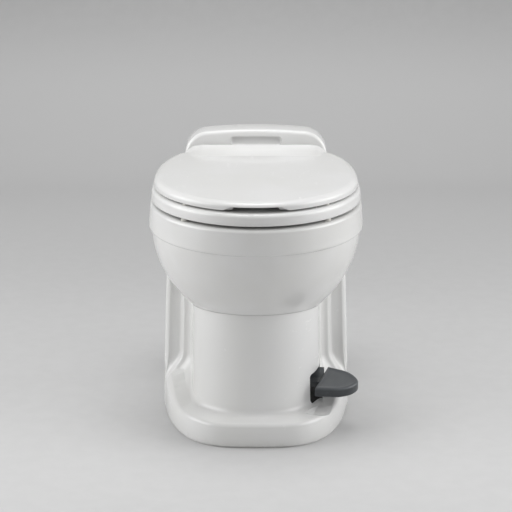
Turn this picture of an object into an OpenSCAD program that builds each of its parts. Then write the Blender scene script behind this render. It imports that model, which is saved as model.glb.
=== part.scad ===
// Pedal-flush travel toilet: china bowl on a moulded pedestal, with a
// spherical flush valve turned by a foot lever through a gear sector.
// Origin: centre of the waste outlet on the floor. Front is -Y, up is +Z.

/* [Bowl and rim] */
// Half width of the rim band at its foot
rim_half_w = 190.5; // [170:0.5:210]
// Reach of the rim in front of its plan centre
rim_front = 212.5; // [190:0.5:235]
// Plan centre of the rim, measured from the outlet
rim_centre_y = -35; // [-50:1:-20]
// Height of the rim's top face
rim_z = 413; // [390:1:440]
// Height of the rim band
rim_band_h = 41; // [30:1:55]
// Reach of the bowl body under the rim band
body_half_w = 185; // [165:0.5:200]
// Depth from the seam to where the body would close
body_depth = 198; // [170:1:215]
// Fullness of the body's side curve
body_fullness = 1.85; // [1.3:0.05:2.2]
// China thickness
china = 9; // [7:0.5:12]
// Width of the rim's top, from the mouth to the band
rim_top_w = 44.5; // [40:0.5:60]
// Width of the flush channel inside the rim
channel_w = 20; // [12:1:24]
// Half width of the rear deck
deck_half_w = 140; // [125:1:150]
// Back face of the deck
deck_back_y = 250; // [235:1:270]
// Top of the raised back of the deck
hump_z = 491; // [470:1:510]
// Front face of the raised back
hump_front_y = 195; // [190:1:205]
// Corner radius of the raised back in front view
hump_corner_r = 46; // [30:1:55]
// Finger pocket width
pocket_w = 98; // [60:1:120]
// Finger pocket height
pocket_h = 16; // [10:1:20]
// Finger pocket depth
pocket_depth = 16; // [8:1:24]

/* [Seat and lid] */
// Half width of the seat ring
seat_half_w = 186; // [165:0.5:200]
// Reach of the seat in front of the plan centre
seat_front = 208; // [185:0.5:225]
// Thickness of the seat ring at its edge
seat_t = 21.6; // [14:0.2:26]
// Gap under the seat, filled by its bumpers
seat_gap = 5.4; // [3:0.1:8]
// Half width of the seat opening
seat_mouth_half_w = 116; // [100:1:125]
// Half width of the lid
lid_half_w = 181; // [160:0.5:195]
// Reach of the lid in front of the plan centre
lid_front = 201.5; // [180:0.5:220]
// Thickness of the lid at its edge
lid_t = 15; // [10:0.5:20]
// Rise of the lid's crown
lid_crown = 3; // [0:0.5:8]
// Gap under the lid, filled by its bumpers
lid_gap = 3; // [2:0.1:6]
// Straight back edge of the lid
lid_back_y = 150; // [140:1:158]
// Finger notch width at the lid's edge
notch_w = 104; // [60:1:120]
// Finger notch height
notch_h = 7; // [4:0.5:9]
// Hinge line behind the outlet
hinge_y = 176; // [170:1:180]
// Hinge line height
hinge_z = 453; // [448:0.5:458]
// Radius of the hinge barrel
barrel_r = 10.5; // [8:0.5:11]
// Hinge pin radius
hinge_pin_r = 4; // [3:0.5:5]
// Half length of the lid's barrel
lid_barrel_half = 70; // [50:1:75]
// Length of each seat knuckle
seat_knuckle = 24; // [15:1:26]
// Thickness of each hinge post
post_t = 16; // [10:1:18]

/* [Pedestal] */
// Half width of the foot outline
foot_half_w = 174; // [160:1:190]
// Reach of the foot in front of its plan centre
foot_front = 290; // [260:1:310]
// Plan centre of the foot outline
foot_centre_y = 100; // [80:1:115]
// Squareness of the foot's sides; its nose stays round
foot_square = 3; // [2:0.05:4]
// Flat back of the pedestal
foot_back_y = 240; // [220:1:248]
// Height of the toe ledge
toe_h = 45; // [30:1:60]
// Height of the shoulder at the side wings
shoulder_h = 86; // [60:1:100]
// Radius of the column under the bowl
column_r = 118; // [105:1:125]
// Plan centre of the column
column_centre_y = -28; // [-40:1:-15]
// Side of the wings at mid height
wing_half_w = 171; // [150:1:175]
// Front of the wing panels beside the column
wing_front_y = 34; // [20:1:60]
// Moulded wall thickness
wall = 4; // [3:0.5:6]
// Top of the wings, just under the rim band
wing_top_z = 366; // [340:1:370]
// Height of the inner floor
floor_z = 24; // [20:1:30]
// Thickness of the inner floor
floor_t = 6; // [4:0.5:8]
// Bottom of the pedal slot
slot_z0 = 46; // [42:1:60]
// Top of the pedal slot
slot_z1 = 103; // [90:1:120]
// Front of the pedal slot
slot_y0 = -93; // [-100:1:-80]
// Back of the pedal slot
slot_y1 = -4; // [-30:1:5]

/* [Flush valve] */
// Radius of the waste passage
outlet_r = 33; // [28:0.5:36]
// Wall of the outlet spigot
spigot_wall = 3.5; // [3:0.5:5]
// Height of the ball's centre
ball_z = 112; // [105:1:125]
// Outside radius of the flush ball
ball_r = 52; // [46:0.5:56]
// Thickness of the flush ball
ball_t = 3.5; // [3:0.5:5]
// Radius of the cap that closes the outlet
cap_r = 38; // [34:0.5:42]
// Outside radius of the valve housing
housing_r = 59; // [57:0.5:64]
// Radius of the clamped flanges
flange_r = 70; // [66:0.5:72]
// Thickness of each clamped flange
flange_t = 7; // [5:0.5:8]
// Bowl gasket thickness
gasket_t = 1.5; // [1:0.5:3]
// Radius of the ball's shaft
shaft_r = 6; // [5:0.25:7]
// Half spacing of the valve's four screws
screw_half = 53; // [50:0.5:58]
// Half spacing of the closet bolt holes
closet_half = 76.2; // [70:0.1:90]
// Radius of the closet bolt holes
closet_hole_r = 4.5; // [4:0.25:6]

/* [Pedal drive] */
// Gear module
gear_m = 1.6; // [1.25:0.05:2]
// Pinion teeth
pinion_teeth = 10; // [9:1:14]
// Teeth the sector would have as a whole wheel
sector_teeth = 110; // [90:1:120]
// Tooth height above the pitch line, in modules
addendum = 0.7; // [0.6:0.05:1]
// Backlash on each flank
backlash = 0.16; // [0.08:0.01:0.3]
// Pressure angle
pressure_angle = 25; // [20:1:28]
// Rise of the lever's pivot below the shaft, negative is lower
pivot_dz = -13.8; // [-25:0.1:0]
// Pivot pin radius
pivot_r = 5; // [4:0.5:6]
// Face width of the gears
gear_w = 8; // [6:0.5:12]
// Inner face of the lever
lever_x = 82; // [80:0.5:86]
// Pedal pad thickness
pad_t = 18; // [12:0.5:22]
// Upward tilt of the pad toward its back
pad_tilt = 8; // [0:0.5:14]

/* [Water] */
// Water valve body radius
valve_r = 15; // [12:0.5:18]
// Water valve distance behind the pivot
valve_back = 40; // [35:1:50]
// Inlet thread radius of the swivel nut
inlet_r = 10.2; // [9:0.1:12]
// Hose outside radius
hose_r = 8; // [6:0.5:9]
// Hose bore radius
hose_bore = 5.5; // [4:0.5:7]
// Vacuum breaker body radius
breaker_r = 16; // [14:0.5:18]

/* [Fits] */
// Running clearance of pins and shafts
run = 0.06; // [0.02:0.01:0.1]
// Clearance between moving bodies
part_gap = 0.3; // [0.2:0.05:0.5]

/* [Hidden] */
china_col = "#eeeeea";
shell_col = "#ececea";
dark_col = "#44494d";
steel_col = "#b9bcc0";
rubber_col = "#2b2c2e";
resin_col = "#dcdcd6";
pin_res = 48;
ring_n = 72;
seam_z = rim_z - rim_band_h - 6;
mouth_half_w = rim_half_w - rim_top_w;
neck_top_z = seam_z - body_depth + 14;
neck_r = cap_r + 10;
throat_r = cap_r + 0.5;
rim_len = rim_front / rim_half_w;
seat_z = rim_z + seat_gap;
seat_top = seat_z + seat_t;
lid_z = seat_top + lid_gap;
neck_z = ball_z + 38 + 5;
gasket_z = neck_z;
bowl_foot_z = gasket_z + gasket_t;
housing_top = gasket_z;
pinion_r = gear_m * pinion_teeth / 2;
sector_r = gear_m * sector_teeth / 2;
gear_gap = pinion_r + sector_r;
pivot_z = ball_z + pivot_dz;
pivot_y = sqrt(gear_gap * gear_gap - pivot_dz * pivot_dz);
ear_in_x = lever_x - 7;
ear_out_x = lever_x + gear_w / 2 + valve_r;
valve_y = pivot_y + valve_back;
valve_x = lever_x + gear_w / 2;
plunger_z = pivot_z + 6.85;
valve_z = pivot_z + 20.5;
relief_z = 38;
plate_t = 3;
spigot_r = hose_bore - 0.35;
cover_r = barrel_r + 2.5;
draft = 0.00022;
foot_draft = 0.00024;
breaker_x = 78;
breaker_y = 225;
breaker_z = 424;
post_x = lid_barrel_half + seat_knuckle + 3 + post_t / 2;
cover_half = post_x + post_t / 2;
joint_gap = 0.6;
seat_lip_z = ball_z + 41;
clamp_turn = 90;
inlet_y = 200;
tube_end_y = rim_centre_y + mouth_half_w + 24;

// Part to show

// Plan outline of a rim, seat or lid: half ellipse in front, squarer behind
function egg(a, f, b, yc, z, n = ring_n, back = 2.5) = [
  for (i = [0 : n - 1])
    let (
      t = 360 * i / n,
      s = sin(t),
      c = cos(t),
      p = s < 0 ? 2 : back,
      len_y = s < 0 ? f : b,
      r = pow(pow(abs(c) / a, p) + pow(abs(s) / len_y, p), -1 / p)
    )
    [r * c, yc + r * s, z]
];

// Skin between closed rings of equal count; a loop of rings joins its last to its first
module skin(rings, loop = false) {
  n = len(rings[0]);
  m = len(rings);
  last = loop ? m - 1 : m - 2;
  sides = [
    for (k = [0 : last], i = [0 : n - 1], h = [0, 1])
      let (
        a = k * n + i,
        b = k * n + (i + 1) % n,
        c = ((k + 1) % m) * n + (i + 1) % n,
        d = ((k + 1) % m) * n + i
      )
      h == 0 ? [a, c, b] : [a, d, c]
  ];
  ends = loop ? [] : [[for (i = [0 : n - 1]) i], [for (i = [0 : n - 1]) m * n - 1 - i]];
  polyhedron(points = [for (r = rings) each r], faces = concat(sides, ends), convexity = 8);
}

// Point on a rounded corner, for shapes swept through a few levels
function arc(cx, cz, r, a0, a1, n) = [
  for (i = [0 : n]) [cx + r * cos(a0 + (a1 - a0) * i / n), cz + r * sin(a0 + (a1 - a0) * i / n)]
];

// Smooth step from 0 to 1
function ease(t) = let (u = min(max(t, 0), 1)) u * u * (3 - 2 * u);

// Cylinder along X between two stations
module rod_x(x0, x1, r, y = 0, z = 0) {
  translate([x0, y, z]) rotate([0, 90, 0]) cylinder(h = x1 - x0, r = r, $fn = pin_res);
}

// Cylinder along Y between two stations
module rod_y(y0, y1, r, x = 0, z = 0) {
  translate([x, y1, z]) rotate([90, 0, 0]) cylinder(h = y1 - y0, r = r, $fn = pin_res);
}

// Upright cylinder
module rod_z(z0, z1, r, x = 0, y = 0) {
  translate([x, y, z0]) cylinder(h = z1 - z0, r = r, $fn = pin_res);
}

// Hexagon prism standing on z0
module hex_z(z0, h, flats, x = 0, y = 0) {
  translate([x, y, z0]) cylinder(h = h, r = flats / sqrt(3), $fn = 6);
}

// Plate in the YZ plane, drawn as [y, z] and thickened from x0 to x1
module plate_x(x0, x1) {
  translate([x0, 0, 0]) rotate([90, 0, 90]) linear_extrude(height = x1 - x0) children();
}

// Open polyline rounded into a smooth path by Catmull-Rom
function knot(p, i) = p[min(max(i, 0), len(p) - 1)];
function smooth(p, k) = [
  for (i = [0 : len(p) - 2], j = [0 : k - 1])
    let (
      t = j / k,
      a = knot(p, i - 1),
      b = p[i],
      c = p[i + 1],
      d = knot(p, i + 2)
    )
    0.5 * (2 * b + (c - a) * t + (2 * a - 5 * b + 4 * c - d) * t * t + (3 * b - a - 3 * c + d) * t * t * t)
];
function unit(v) = v / norm(v);

// Ring of a tube around a path point, framed by a fixed side vector
function hoop(c, dir, side, r, n) =
  let (u = unit(cross(dir, side)), v = cross(unit(dir), u))
  [for (i = [0 : n - 1]) c + r * (cos(360 * i / n) * u + sin(360 * i / n) * v)];

// Hollow or solid tube along a path
module tube(path, r, bore, side, n = 16) {
  m = len(path);
  dirs = [for (i = [0 : m - 1]) knot(path, i + 1) - knot(path, i - 1)];
  outer = [for (i = [0 : m - 1]) hoop(path[i], dirs[i], side, r, n)];
  inner = [for (i = [m - 1 : -1 : 0]) hoop(path[i], dirs[i], side, bore, n)];
  if (bore > 0) skin(concat(outer, inner), true);
  else skin(outer);
}

// Half width of the bowl body at a height
function body_w(z) =
  body_half_w * pow(1 - pow((seam_z - z) / body_depth, body_fullness), 1 / body_fullness);

// How far down the body a height lies, 0 at the seam and 1 at the neck
function depth_share(z) = (seam_z - z) / (seam_z - body_levels[0]);

// Ring of the body at a height, grown by g and raised by lift
function body_ring(z, g = 0, lift = 0, n = ring_n) =
  let (
    d = depth_share(z),
    w = max(body_w(z), neck_r) + g,
    f = w * (1 + (rim_len - 1) * (1 - d)),
    b = w * (1.08 - 0.08 * d)
  )
  egg(w, f, b, rim_centre_y * (1 - d), z + lift, n, 2.2);

body_levels = [for (k = [0 : 12]) neck_top_z + (seam_z - neck_top_z) * pow(k / 12, 1.6)];

// Ring of the rim, inset from the band's foot
function rim_ring(inset, z, back = 262, n = ring_n) =
  egg(rim_half_w - inset, rim_front - inset * rim_len, back - inset, rim_centre_y, z, n);

// Ring inside the rim, measured outward from the mouth
function mouth_ring(grow, z, n = ring_n) =
  egg(mouth_half_w + grow, rim_front - rim_half_w + mouth_half_w + grow, mouth_half_w + 4 + grow,
    rim_centre_y, z, n, 2.2);

bowl_rings = concat(
  [for (z = [bowl_foot_z, bowl_foot_z + flange_t]) egg(flange_r, flange_r, flange_r, 0, z, ring_n, 2)],
  [for (z = [bowl_foot_z + flange_t + 0.1, neck_top_z - 10]) egg(neck_r, neck_r, neck_r, 0, z, ring_n, 2)],
  [for (z = body_levels) body_ring(z)],
  [
    rim_ring(4.5, seam_z + 0.8),
    rim_ring(0.6, seam_z + 4.6),
    rim_ring(0, seam_z + 7),
    rim_ring(2.2, rim_z - 4.5),
    rim_ring(3.2, rim_z - 1.6),
    rim_ring(5.6, rim_z - 0.2),
    rim_ring(8, rim_z),
    mouth_ring(3, rim_z),
    mouth_ring(0.8, rim_z - 0.9),
    mouth_ring(0, rim_z - 3),
    mouth_ring(0, rim_z - 25),
    mouth_ring(4, rim_z - 28),
    mouth_ring(china, rim_z - 25),
    mouth_ring(china, rim_z - china),
    mouth_ring(china + channel_w, rim_z - china),
    mouth_ring(china + channel_w, rim_z - 40)
  ],
  [for (k = [len(body_levels) - 1 : -1 : 0])
    let (z = body_levels[k], d = depth_share(z))
    body_ring(z, -china * (1 - 0.35 * d), china * 0.8 * d)],
  [for (z = [neck_top_z, bowl_foot_z]) egg(throat_r, throat_r, throat_r, 0, z, ring_n, 2)]
);

// Front view outline of the raised deck back, drawn as [x, z]
function hump_side(inset) =
  let (cx = deck_half_w - 6 - hump_corner_r, cz = hump_z - 4 - hump_corner_r, r = hump_corner_r - inset)
  concat(
    [[deck_half_w - inset, rim_z - 40], [deck_half_w - inset, rim_z + 4],
      [deck_half_w - 3.4 - inset, rim_z + 16]],
    arc(cx, cz, r, 0, 84, 8),
    [for (k = [1 : 3]) [cx * (1 - k / 4), hump_z - inset - 4 * pow(1 - k / 4, 2)]]
  );
function hump_ring(inset, y) =
  let (s = hump_side(inset), m = len(s))
  concat(
    [for (p = s) [-p[0], y, p[1]]],
    [[0, y, hump_z - inset]],
    [for (i = [m - 1 : -1 : 0]) [s[i][0], y, s[i][1]]]
  );

// Raised back of the deck, with rolled edges
module hump_form() {
  skin([
    hump_ring(5, hump_front_y),
    hump_ring(1.8, hump_front_y + 1.2),
    hump_ring(0, hump_front_y + 5),
    hump_ring(0, deck_back_y - 3.5),
    hump_ring(3.5, deck_back_y)
  ]);
}

// Flat deck between the bowl and its raised back
module deck_form() {
  translate([0.8 - deck_half_w, 90, seam_z + 1.6])
    cube([2 * deck_half_w - 1.6, deck_back_y - 94.5, rim_z - 0.7 - seam_z - 1.6]);
}

// Cut that opens the deck below and behind, for the water fittings
module deck_hollow() {
  skin([hump_ring(china, hump_front_y + china), hump_ring(china, deck_back_y + 2)]);
  translate([china + 2 - deck_half_w, 168, seam_z - 20])
    cube([2 * (deck_half_w - china) - 4, deck_back_y + 20 - 168, rim_z - china - seam_z + 19]);
  for (s = [-1, 1]) translate([s * post_x - 20, hinge_y - 19, seam_z - 20])
    cube([40, 14, rim_z - china - seam_z + 19]);
}

// Finger pocket: curved back wall, rounded ends
module pocket_cut(grow) {
  intersection() {
    rotate([90, 0, 90]) translate([0, 0, -pocket_w / 2 - grow])
      linear_extrude(height = pocket_w + 2 * grow)
        polygon(concat(
          [[hump_front_y - 3, hump_z - 13 + grow], [hump_front_y - 3, hump_z - 13 - pocket_h - grow]],
          arc(hump_front_y, hump_z - 13, pocket_depth + grow, -90, 0, 8)
        ));
    translate([0, hump_front_y + 30, hump_z - 13 - pocket_h / 2]) rotate([90, 0, 0])
      linear_extrude(height = 40) offset(r = 7, $fn = 24)
        square([pocket_w - 14 + 2 * grow, pocket_h - 14 + 2 * grow], center = true);
  }
}

module bowl() {
  color(china_col) difference() {
    resize([2 * rim_half_w, 0, 0]) difference() {
      union() {
        difference() {
          union() {
            skin(bowl_rings, true);
            difference() {
              union() {
                deck_form();
                hump_form();
              }
              translate([0, 0, -1])
                skin([for (z = [rim_z - 60, rim_z + 2]) mouth_ring(china + channel_w - 1, z)]);
            }
          }
          deck_hollow();
        }
        intersection() {
          pocket_cut(5);
          translate([-100, hump_front_y + 4, 380]) cube([200, 60, 120]);
        }
      }
      pocket_cut(0);
    }
    for (s = [-1, 1])
      rod_z(rim_z - 20, rim_z + 1, 5.4, s * post_x, hinge_y);
    rod_y(tube_end_y - 7, hump_front_y - 5, hose_r + part_gap, 0, rim_z - 22);
  }
}

// Right half of the plan above the ledge, front centre to back centre: column, flank, recessed
// wing panel with its ridge and lip, and side. The inside is drawn with the panel moved back.
function upper_half(back) = concat(
  [for (i = [0 : 12]) let (a = -90 + i * 90 / 12)
    [column_r * cos(a), column_centre_y + column_r * sin(a)]],
  [[column_r + 1, wing_front_y - 26]],
  arc(column_r + 15, wing_front_y - 18, 14, 180, 90, 4),
  [for (p = concat(
    [[column_r + 18.5, wing_front_y - 2.6], [column_r + 22, wing_front_y + 3],
      [wing_half_w - 27, wing_front_y + 6.4], [wing_half_w - 16, wing_front_y + 7]],
    arc(wing_half_w - 10, wing_front_y + 15, 10, -80, 0, 4)
  )) [p[0], p[1] + back]],
  [for (k = [1 : 4])
    let (y = wing_front_y + 15 + back)
    [wing_half_w, y + k * (foot_back_y - 12 - y) / 4]],
  arc(wing_half_w - 10, foot_back_y - 10, 10, 10, 90, 3),
  [[wing_half_w * 0.6, foot_back_y], [wing_half_w * 0.3, foot_back_y]]
);
function upper(back = 0) =
  let (half = upper_half(back))
  concat(
    half,
    [[0, foot_back_y]],
    [for (i = [len(half) - 1 : -1 : 1]) [-half[i][0], half[i][1]]]
  );

// Scale at which a ray meets the foot outline, found by Newton's steps
function reach(a, b, k, n) =
  n == 0
    ? k
    : reach(a, b, k - (a * pow(k, foot_square) + b * k * k - 1)
        / (foot_square * a * pow(k, foot_square - 1) + 2 * b * k), n - 1);

// Foot point on the same ray from the foot's plan centre
function foot_point(p) =
  let (q = p - [0, foot_centre_y])
  q[1] >= 0
    ? [p[0] * foot_half_w / wing_half_w, p[1]]
    : let (side = pow(abs(q[0]) / foot_half_w, foot_square), nose = pow(q[1] / foot_front, 2))
      [0, foot_centre_y] + q * reach(side, nose, 1, 8);

// How far the ledge has climbed from the toe to the shoulder, and its height
function climb(p) = ease((p[1] + 75) / 125);
function ledge_z(p) = toe_h + (shoulder_h - toe_h) * climb(p);

// Point between the upper outline and the foot, with the upper part drafted
function shell_point(p, share, inset, z, skin_in) =
  let (
    c = [0, foot_centre_y],
    k = 1 - draft * max(z - shoulder_h, 0),
    u = [p[0] * k, p[1] < 0 ? p[1] * k : p[1]],
    e = foot_point(p),
    f = [e[0] * (1 - foot_draft * min(z, shoulder_h)), e[1]],
    room = norm(f - c) - norm(u - c),
    g = min(1, max(room, 0) / 34),
    r = norm(f - c) * share + (norm(u - c)) * (1 - share) - (share > 0.5 ? inset * g : -inset * g),
    d = (f - c) / norm(f - c),
    q = c + d * (r - skin_in)
  )
  [q[0], min(q[1], foot_back_y - skin_in), z];

// Rings of the pedestal's outside, or of its inside when t is the wall
function shell_rings(t, bottom, top) = [
  for (level = [
    [1, 0, 0, bottom],
    [1, 0.8, 1, -17],
    [1, 2.7, 1, -8.5],
    [1, 7.9, 1, -2.3],
    [1, 15, 1, 0],
    [0, 17, 1, 0.4],
    [0, 8.5, 1, 2.7],
    [0, 2.3, 1, 8.9],
    [0, 0, 1, 17.4],
    [0, 0, 2, 160],
    [0, 0, 2, top]
  ])
    [for (p = upper(t > 0 ? 5 : 0))
      shell_point(p, level[0], level[1],
        level[2] == 1
          ? ledge_z(p) + level[3] * (level[3] < 0 ? 1 + 1.2 * climb(p) : 1) - t
          : level[3], t)]
];

// Relief under the pad, so that the pedal clears the ledge
module pad_relief() {
  translate([0, 0, relief_z]) linear_extrude(height = 60) difference() {
    offset(r = 6, $fn = 32) polygon(pad_edge);
    translate([0, column_centre_y]) circle(r = column_r + 0.6, $fn = 128);
  }
}

module base_shell() {
  color(shell_col) difference() {
    resize([2 * foot_half_w, 0, 0]) difference() {
      union() {
        difference() {
          skin(shell_rings(0, 0, wing_top_z));
          skin(shell_rings(wall, -1, wing_top_z - wall));
        }
        translate([0, 0, floor_z]) linear_extrude(height = floor_t)
          polygon([for (p = upper()) let (q = shell_point(p, 1, 1, floor_z, wall / 2)) [q[0], q[1]]]);
      }
      skin([for (z = concat(body_levels, [seam_z + 2]))
        [for (p = body_ring(min(z, seam_z), joint_gap)) [p[0], p[1], z]]]);
      translate([0, foot_back_y - wall, (floor_z + wing_top_z) / 2 + 6])
        cube([2 * wing_half_w - 44, 6 * wall, wing_top_z - floor_z - 36], center = true);
      pad_relief();
      translate([column_r - 30, slot_y0, slot_z0])
        rotate([90, 0, 90]) linear_extrude(height = 42) offset(r = 6, $fn = 24)
          translate([6, 6]) square([slot_y1 - slot_y0 - 12, slot_z1 - slot_z0 - 12]);
      translate([12 - deck_half_w, 150, wing_top_z - 2 * wall])
        cube([2 * (deck_half_w - 12), foot_back_y - 162, 3 * wall]);
    }
    rod_z(floor_z - 1, floor_z + floor_t + 1, outlet_r + spigot_wall + 1.5);
    for (s = [-1, 1]) rod_z(floor_z - 1, floor_z + floor_t + 1, closet_hole_r, s * closet_half, 0);
    for (a = [-1, 1], b = [-1, 1])
      rod_z(floor_z - 1, floor_z + floor_t + 1, 2.6, a * screw_half, b * screw_half);
    for (y = [pivot_y - 8, pivot_y + valve_back - 2])
      rod_z(floor_z - 1, floor_z + floor_t + 1, 2.6, valve_x, y);
  }
}

// Ring that seals the valve body to the bowl's neck
module bowl_gasket() {
  color(rubber_col) difference() {
    rod_z(gasket_z, gasket_z + gasket_t, flange_r - 3);
    rod_z(gasket_z - 1, gasket_z + gasket_t + 1, cap_r + 1);
  }
}

// Lip seal that the flush ball sweeps under
module ball_seal() {
  seat = ball_r + part_gap;
  lip = seat_lip_z - ball_z;
  color(rubber_col) rotate_extrude($fn = ring_n)
    polygon([
      [sqrt(seat * seat - 38 * 38) + 0.15, ball_z + 38],
      [sqrt(seat * seat - lip * lip) + 0.15, seat_lip_z],
      [sqrt(seat * seat - lip * lip) + 0.15, gasket_z - 0.05],
      [47, gasket_z - 0.05],
      [47, ball_z + 38]
    ]);
}

// Housing round the ball, with its outlet spigot and shaft bosses
module valve_body() {
  color(resin_col) difference() {
    union() {
      rod_z(floor_z + floor_t, housing_top, housing_r);
      rod_z(housing_top - flange_t, housing_top, flange_r);
      rod_z(0, floor_z + floor_t + 1, outlet_r + spigot_wall);
      rod_x(-housing_r - 12, housing_r + 12, 14, 0, ball_z);
      translate([0, 0, floor_z + floor_t]) linear_extrude(height = 7)
        difference() {
          square(2 * screw_half + 20, center = true);
          for (a = [0 : 90 : 270]) rotate(a + 45)
            translate([screw_half * sqrt(2) + 19, 0]) square(20, center = true);
        }
    }
    translate([0, 0, ball_z]) sphere(r = ball_r + 2.5, $fn = ring_n);
    rod_z(-1, ball_z, outlet_r);
    rod_z(ball_z, housing_top + 1, cap_r + 1.5);
    rod_z(ball_z + 38, housing_top + 1, 47.1);
    rod_x(-housing_r - 6, housing_r + 13, shaft_r + 2.5, 0, ball_z);
    for (a = [-1, 1], b = [-1, 1])
      rod_z(floor_z, floor_z + floor_t + 9, 3.3, a * screw_half, b * screw_half);
  }
}

// Screw with a cap head, its axis up, head resting on z
module cap_screw(x, y, z, shank, len) {
  rod_z(z - len, z + 0.5, shank, x, y);
  difference() {
    rod_z(z, z + 1.6 * shank, 1.8 * shank, x, y);
    hex_z(z + 0.6 * shank, 2 * shank, 1.6 * shank, x, y);
  }
}

module valve_screws() {
  color(steel_col) for (a = [-1, 1], b = [-1, 1])
    cap_screw(a * screw_half, b * screw_half, floor_z + floor_t + 7, 2.5, 12);
}

// Half of the band that clamps the bowl's neck to the valve body
module clamp_half(side) {
  top = bowl_foot_z + flange_t;
  low = housing_top - flange_t;
  difference() {
    union() {
      rod_z(low - 4, top + 4, flange_r + 4.5);
      translate([-flange_r - 22, 0, low - 1]) cube([2 * flange_r + 44, 10, top - low + 2]);
    }
    rod_z(low - 5, top + 5, housing_r + 1.5);
    rod_z(low - 0.2, top + 0.2, flange_r + part_gap);
    translate([-120, -240 + 0.6, low - 20]) cube([240, 240, 80]);
    for (s = [-1, 1]) rod_y(-1, 12, 3, s * (flange_r + 13), (top + low) / 2);
  }
}
module clamp_half_front() {
  color(resin_col) rotate([0, 0, 180 + clamp_turn]) clamp_half(1);
}
module clamp_half_rear() {
  color(resin_col) rotate([0, 0, clamp_turn]) clamp_half(-1);
}

module clamp_screws() {
  z = (bowl_foot_z + flange_t + housing_top - flange_t) / 2;
  color(steel_col) rotate([0, 0, clamp_turn]) for (s = [-1, 1]) {
    rod_y(-16, 10.5, 2.7, s * (flange_r + 13), z);
    rod_y(10.1, 14, 5, s * (flange_r + 13), z);
    translate([s * (flange_r + 13), -10.1, z]) rotate([90, 0, 0])
      cylinder(h = 4, r = 5, $fn = 6);
  }
}

module shaft_bushes() {
  color("#e6e2d2") for (s = [0, 1]) mirror([s, 0, 0]) difference() {
    union() {
      rod_x(ball_r + 3.2, housing_r + 5.8, shaft_r + 2.45, 0, ball_z);
      if (s == 0) rod_x(housing_r + 5.5, housing_r + 13.5, shaft_r + 2.45, 0, ball_z);
    }
    rod_x(ball_r, housing_r + 20, shaft_r + run, 0, ball_z);
  }
}

// Spherical cap with two cheeks that carry the shaft hubs
module flush_ball() {
  color("#a9adb0") difference() {
    union() {
      difference() {
        intersection() {
          translate([0, 0, ball_z]) sphere(r = ball_r, $fn = ring_n);
          union() {
            rod_z(ball_z, ball_z + ball_r + 1, cap_r);
            for (s = [-1, 1])
              translate([s * 45, 0, ball_z + 8]) cube([30, 26, 48], center = true);
          }
        }
        translate([0, 0, ball_z]) sphere(r = ball_r - ball_t, $fn = ring_n);
      }
      for (s = [0, 1]) mirror([s, 0, 0])
        rod_x(ball_r - 12, ball_r - 1, 12, 0, ball_z);
    }
    rod_x(-ball_r, ball_r, shaft_r + run, 0, ball_z);
  }
}

// Tooth outline of a gear: involute flanks, thinned by the backlash
function inv(a) = tan(a) * 180 / PI - a;
function flank_angle(r, pitch, teeth) =
  let (base = pitch * cos(pressure_angle))
  90 / teeth - backlash / pitch * 180 / PI / 2
  + inv(pressure_angle) - (r > base ? inv(acos(base / r)) : 0);
function tooth_points(pitch, teeth, k) =
  let (
    tip = pitch + addendum * gear_m,
    root = pitch - (addendum + 0.3) * gear_m,
    rs = [root, pitch - 0.5 * gear_m, pitch - 0.2 * gear_m, pitch + 0.1 * gear_m, pitch + 0.4 * gear_m, tip],
    a0 = 360 / teeth * k
  )
  concat(
    [for (r = rs) let (a = a0 - flank_angle(r, pitch, teeth)) r * [cos(a), sin(a)]],
    [for (i = [len(rs) - 1 : -1 : 0])
      let (r = rs[i], a = a0 + flank_angle(r, pitch, teeth)) r * [cos(a), sin(a)]]
  );

// Angle of the line from the shaft to the pivot, in the YZ plane
mesh_angle = atan2(pivot_dz, pivot_y);

// Shaft with its pinion, running from the ball's right hub to the gear
module ball_shaft() {
  x0 = ball_r - 14;
  color(steel_col) union() {
    rod_x(x0, lever_x + gear_w + 2, shaft_r, 0, ball_z);
    translate([0, 0, ball_z]) plate_x(lever_x - 0.5, lever_x + gear_w + 0.5)
      rotate(mesh_angle)
        polygon([for (k = [0 : pinion_teeth - 1]) each tooth_points(pinion_r, pinion_teeth, k + 0.5)]);
  }
}

module stub_axle() {
  color(steel_col) rod_x(-housing_r - 5.5, -ball_r + 14, shaft_r, 0, ball_z);
}

// Control points of the pad in plan, from the slot round its toe
pad_plan = [[105, -118], [128, -121], [152, -121], [174, -109], [184, -86], [168, -54], [131, -33]];
pad_mid = [148, -80];

// Outline of the pad: curved round its toe, straight along the slot, drawn in by an inset
pad_edge = concat(
  smooth(pad_plan, 4),
  [for (k = [0 : 2]) pad_plan[6] + (pad_plan[0] - pad_plan[6]) * k / 3]
);
function pad_curve(inset) = [
  for (q = pad_edge)
    let (v = q - pad_mid)
    pad_mid + v * (1 - inset / norm(v))
];
function pad_level(inset, z) = [for (p = pad_curve(inset)) [p[0], p[1] - pad_mid[1], z - pad_t]];

// Foot pad with rolled edges, and the web that passes through the slot
module pedal_pad() {
  color(dark_col) difference() {
    union() {
      translate([0, pad_mid[1], 93]) rotate([pad_tilt, 0, 0]) skin([
        pad_level(3.2, 0), pad_level(1, 0.9), pad_level(0, 3), pad_level(0, pad_t - 5.5),
        pad_level(1, pad_t - 2.6), pad_level(3, pad_t - 0.9), pad_level(6.5, pad_t)
      ]);
      plate_x(lever_x + gear_w + 0.1, 124)
        polygon([[-84, 77.3], [-84, 87], [-66, 89.7], [-40, 100], [-34, 98], [-34, 87], [-52, 79]]);
      plate_x(lever_x + gear_w + 0.1, lever_x + gear_w + 3)
        polygon([[-87, 57.5], [-87, 101], [-10, 101], [-10, 47.5], [-40, 51.5]]);
    }
    for (y = [-74, -50]) rod_x(lever_x + gear_w, 108, 2.05, y, lever_hole_z(y));
  }
}

// Height of the fixing holes along the lever's nose
function lever_hole_z(y) = 84 + (y + 74) * 0.25;

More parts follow.
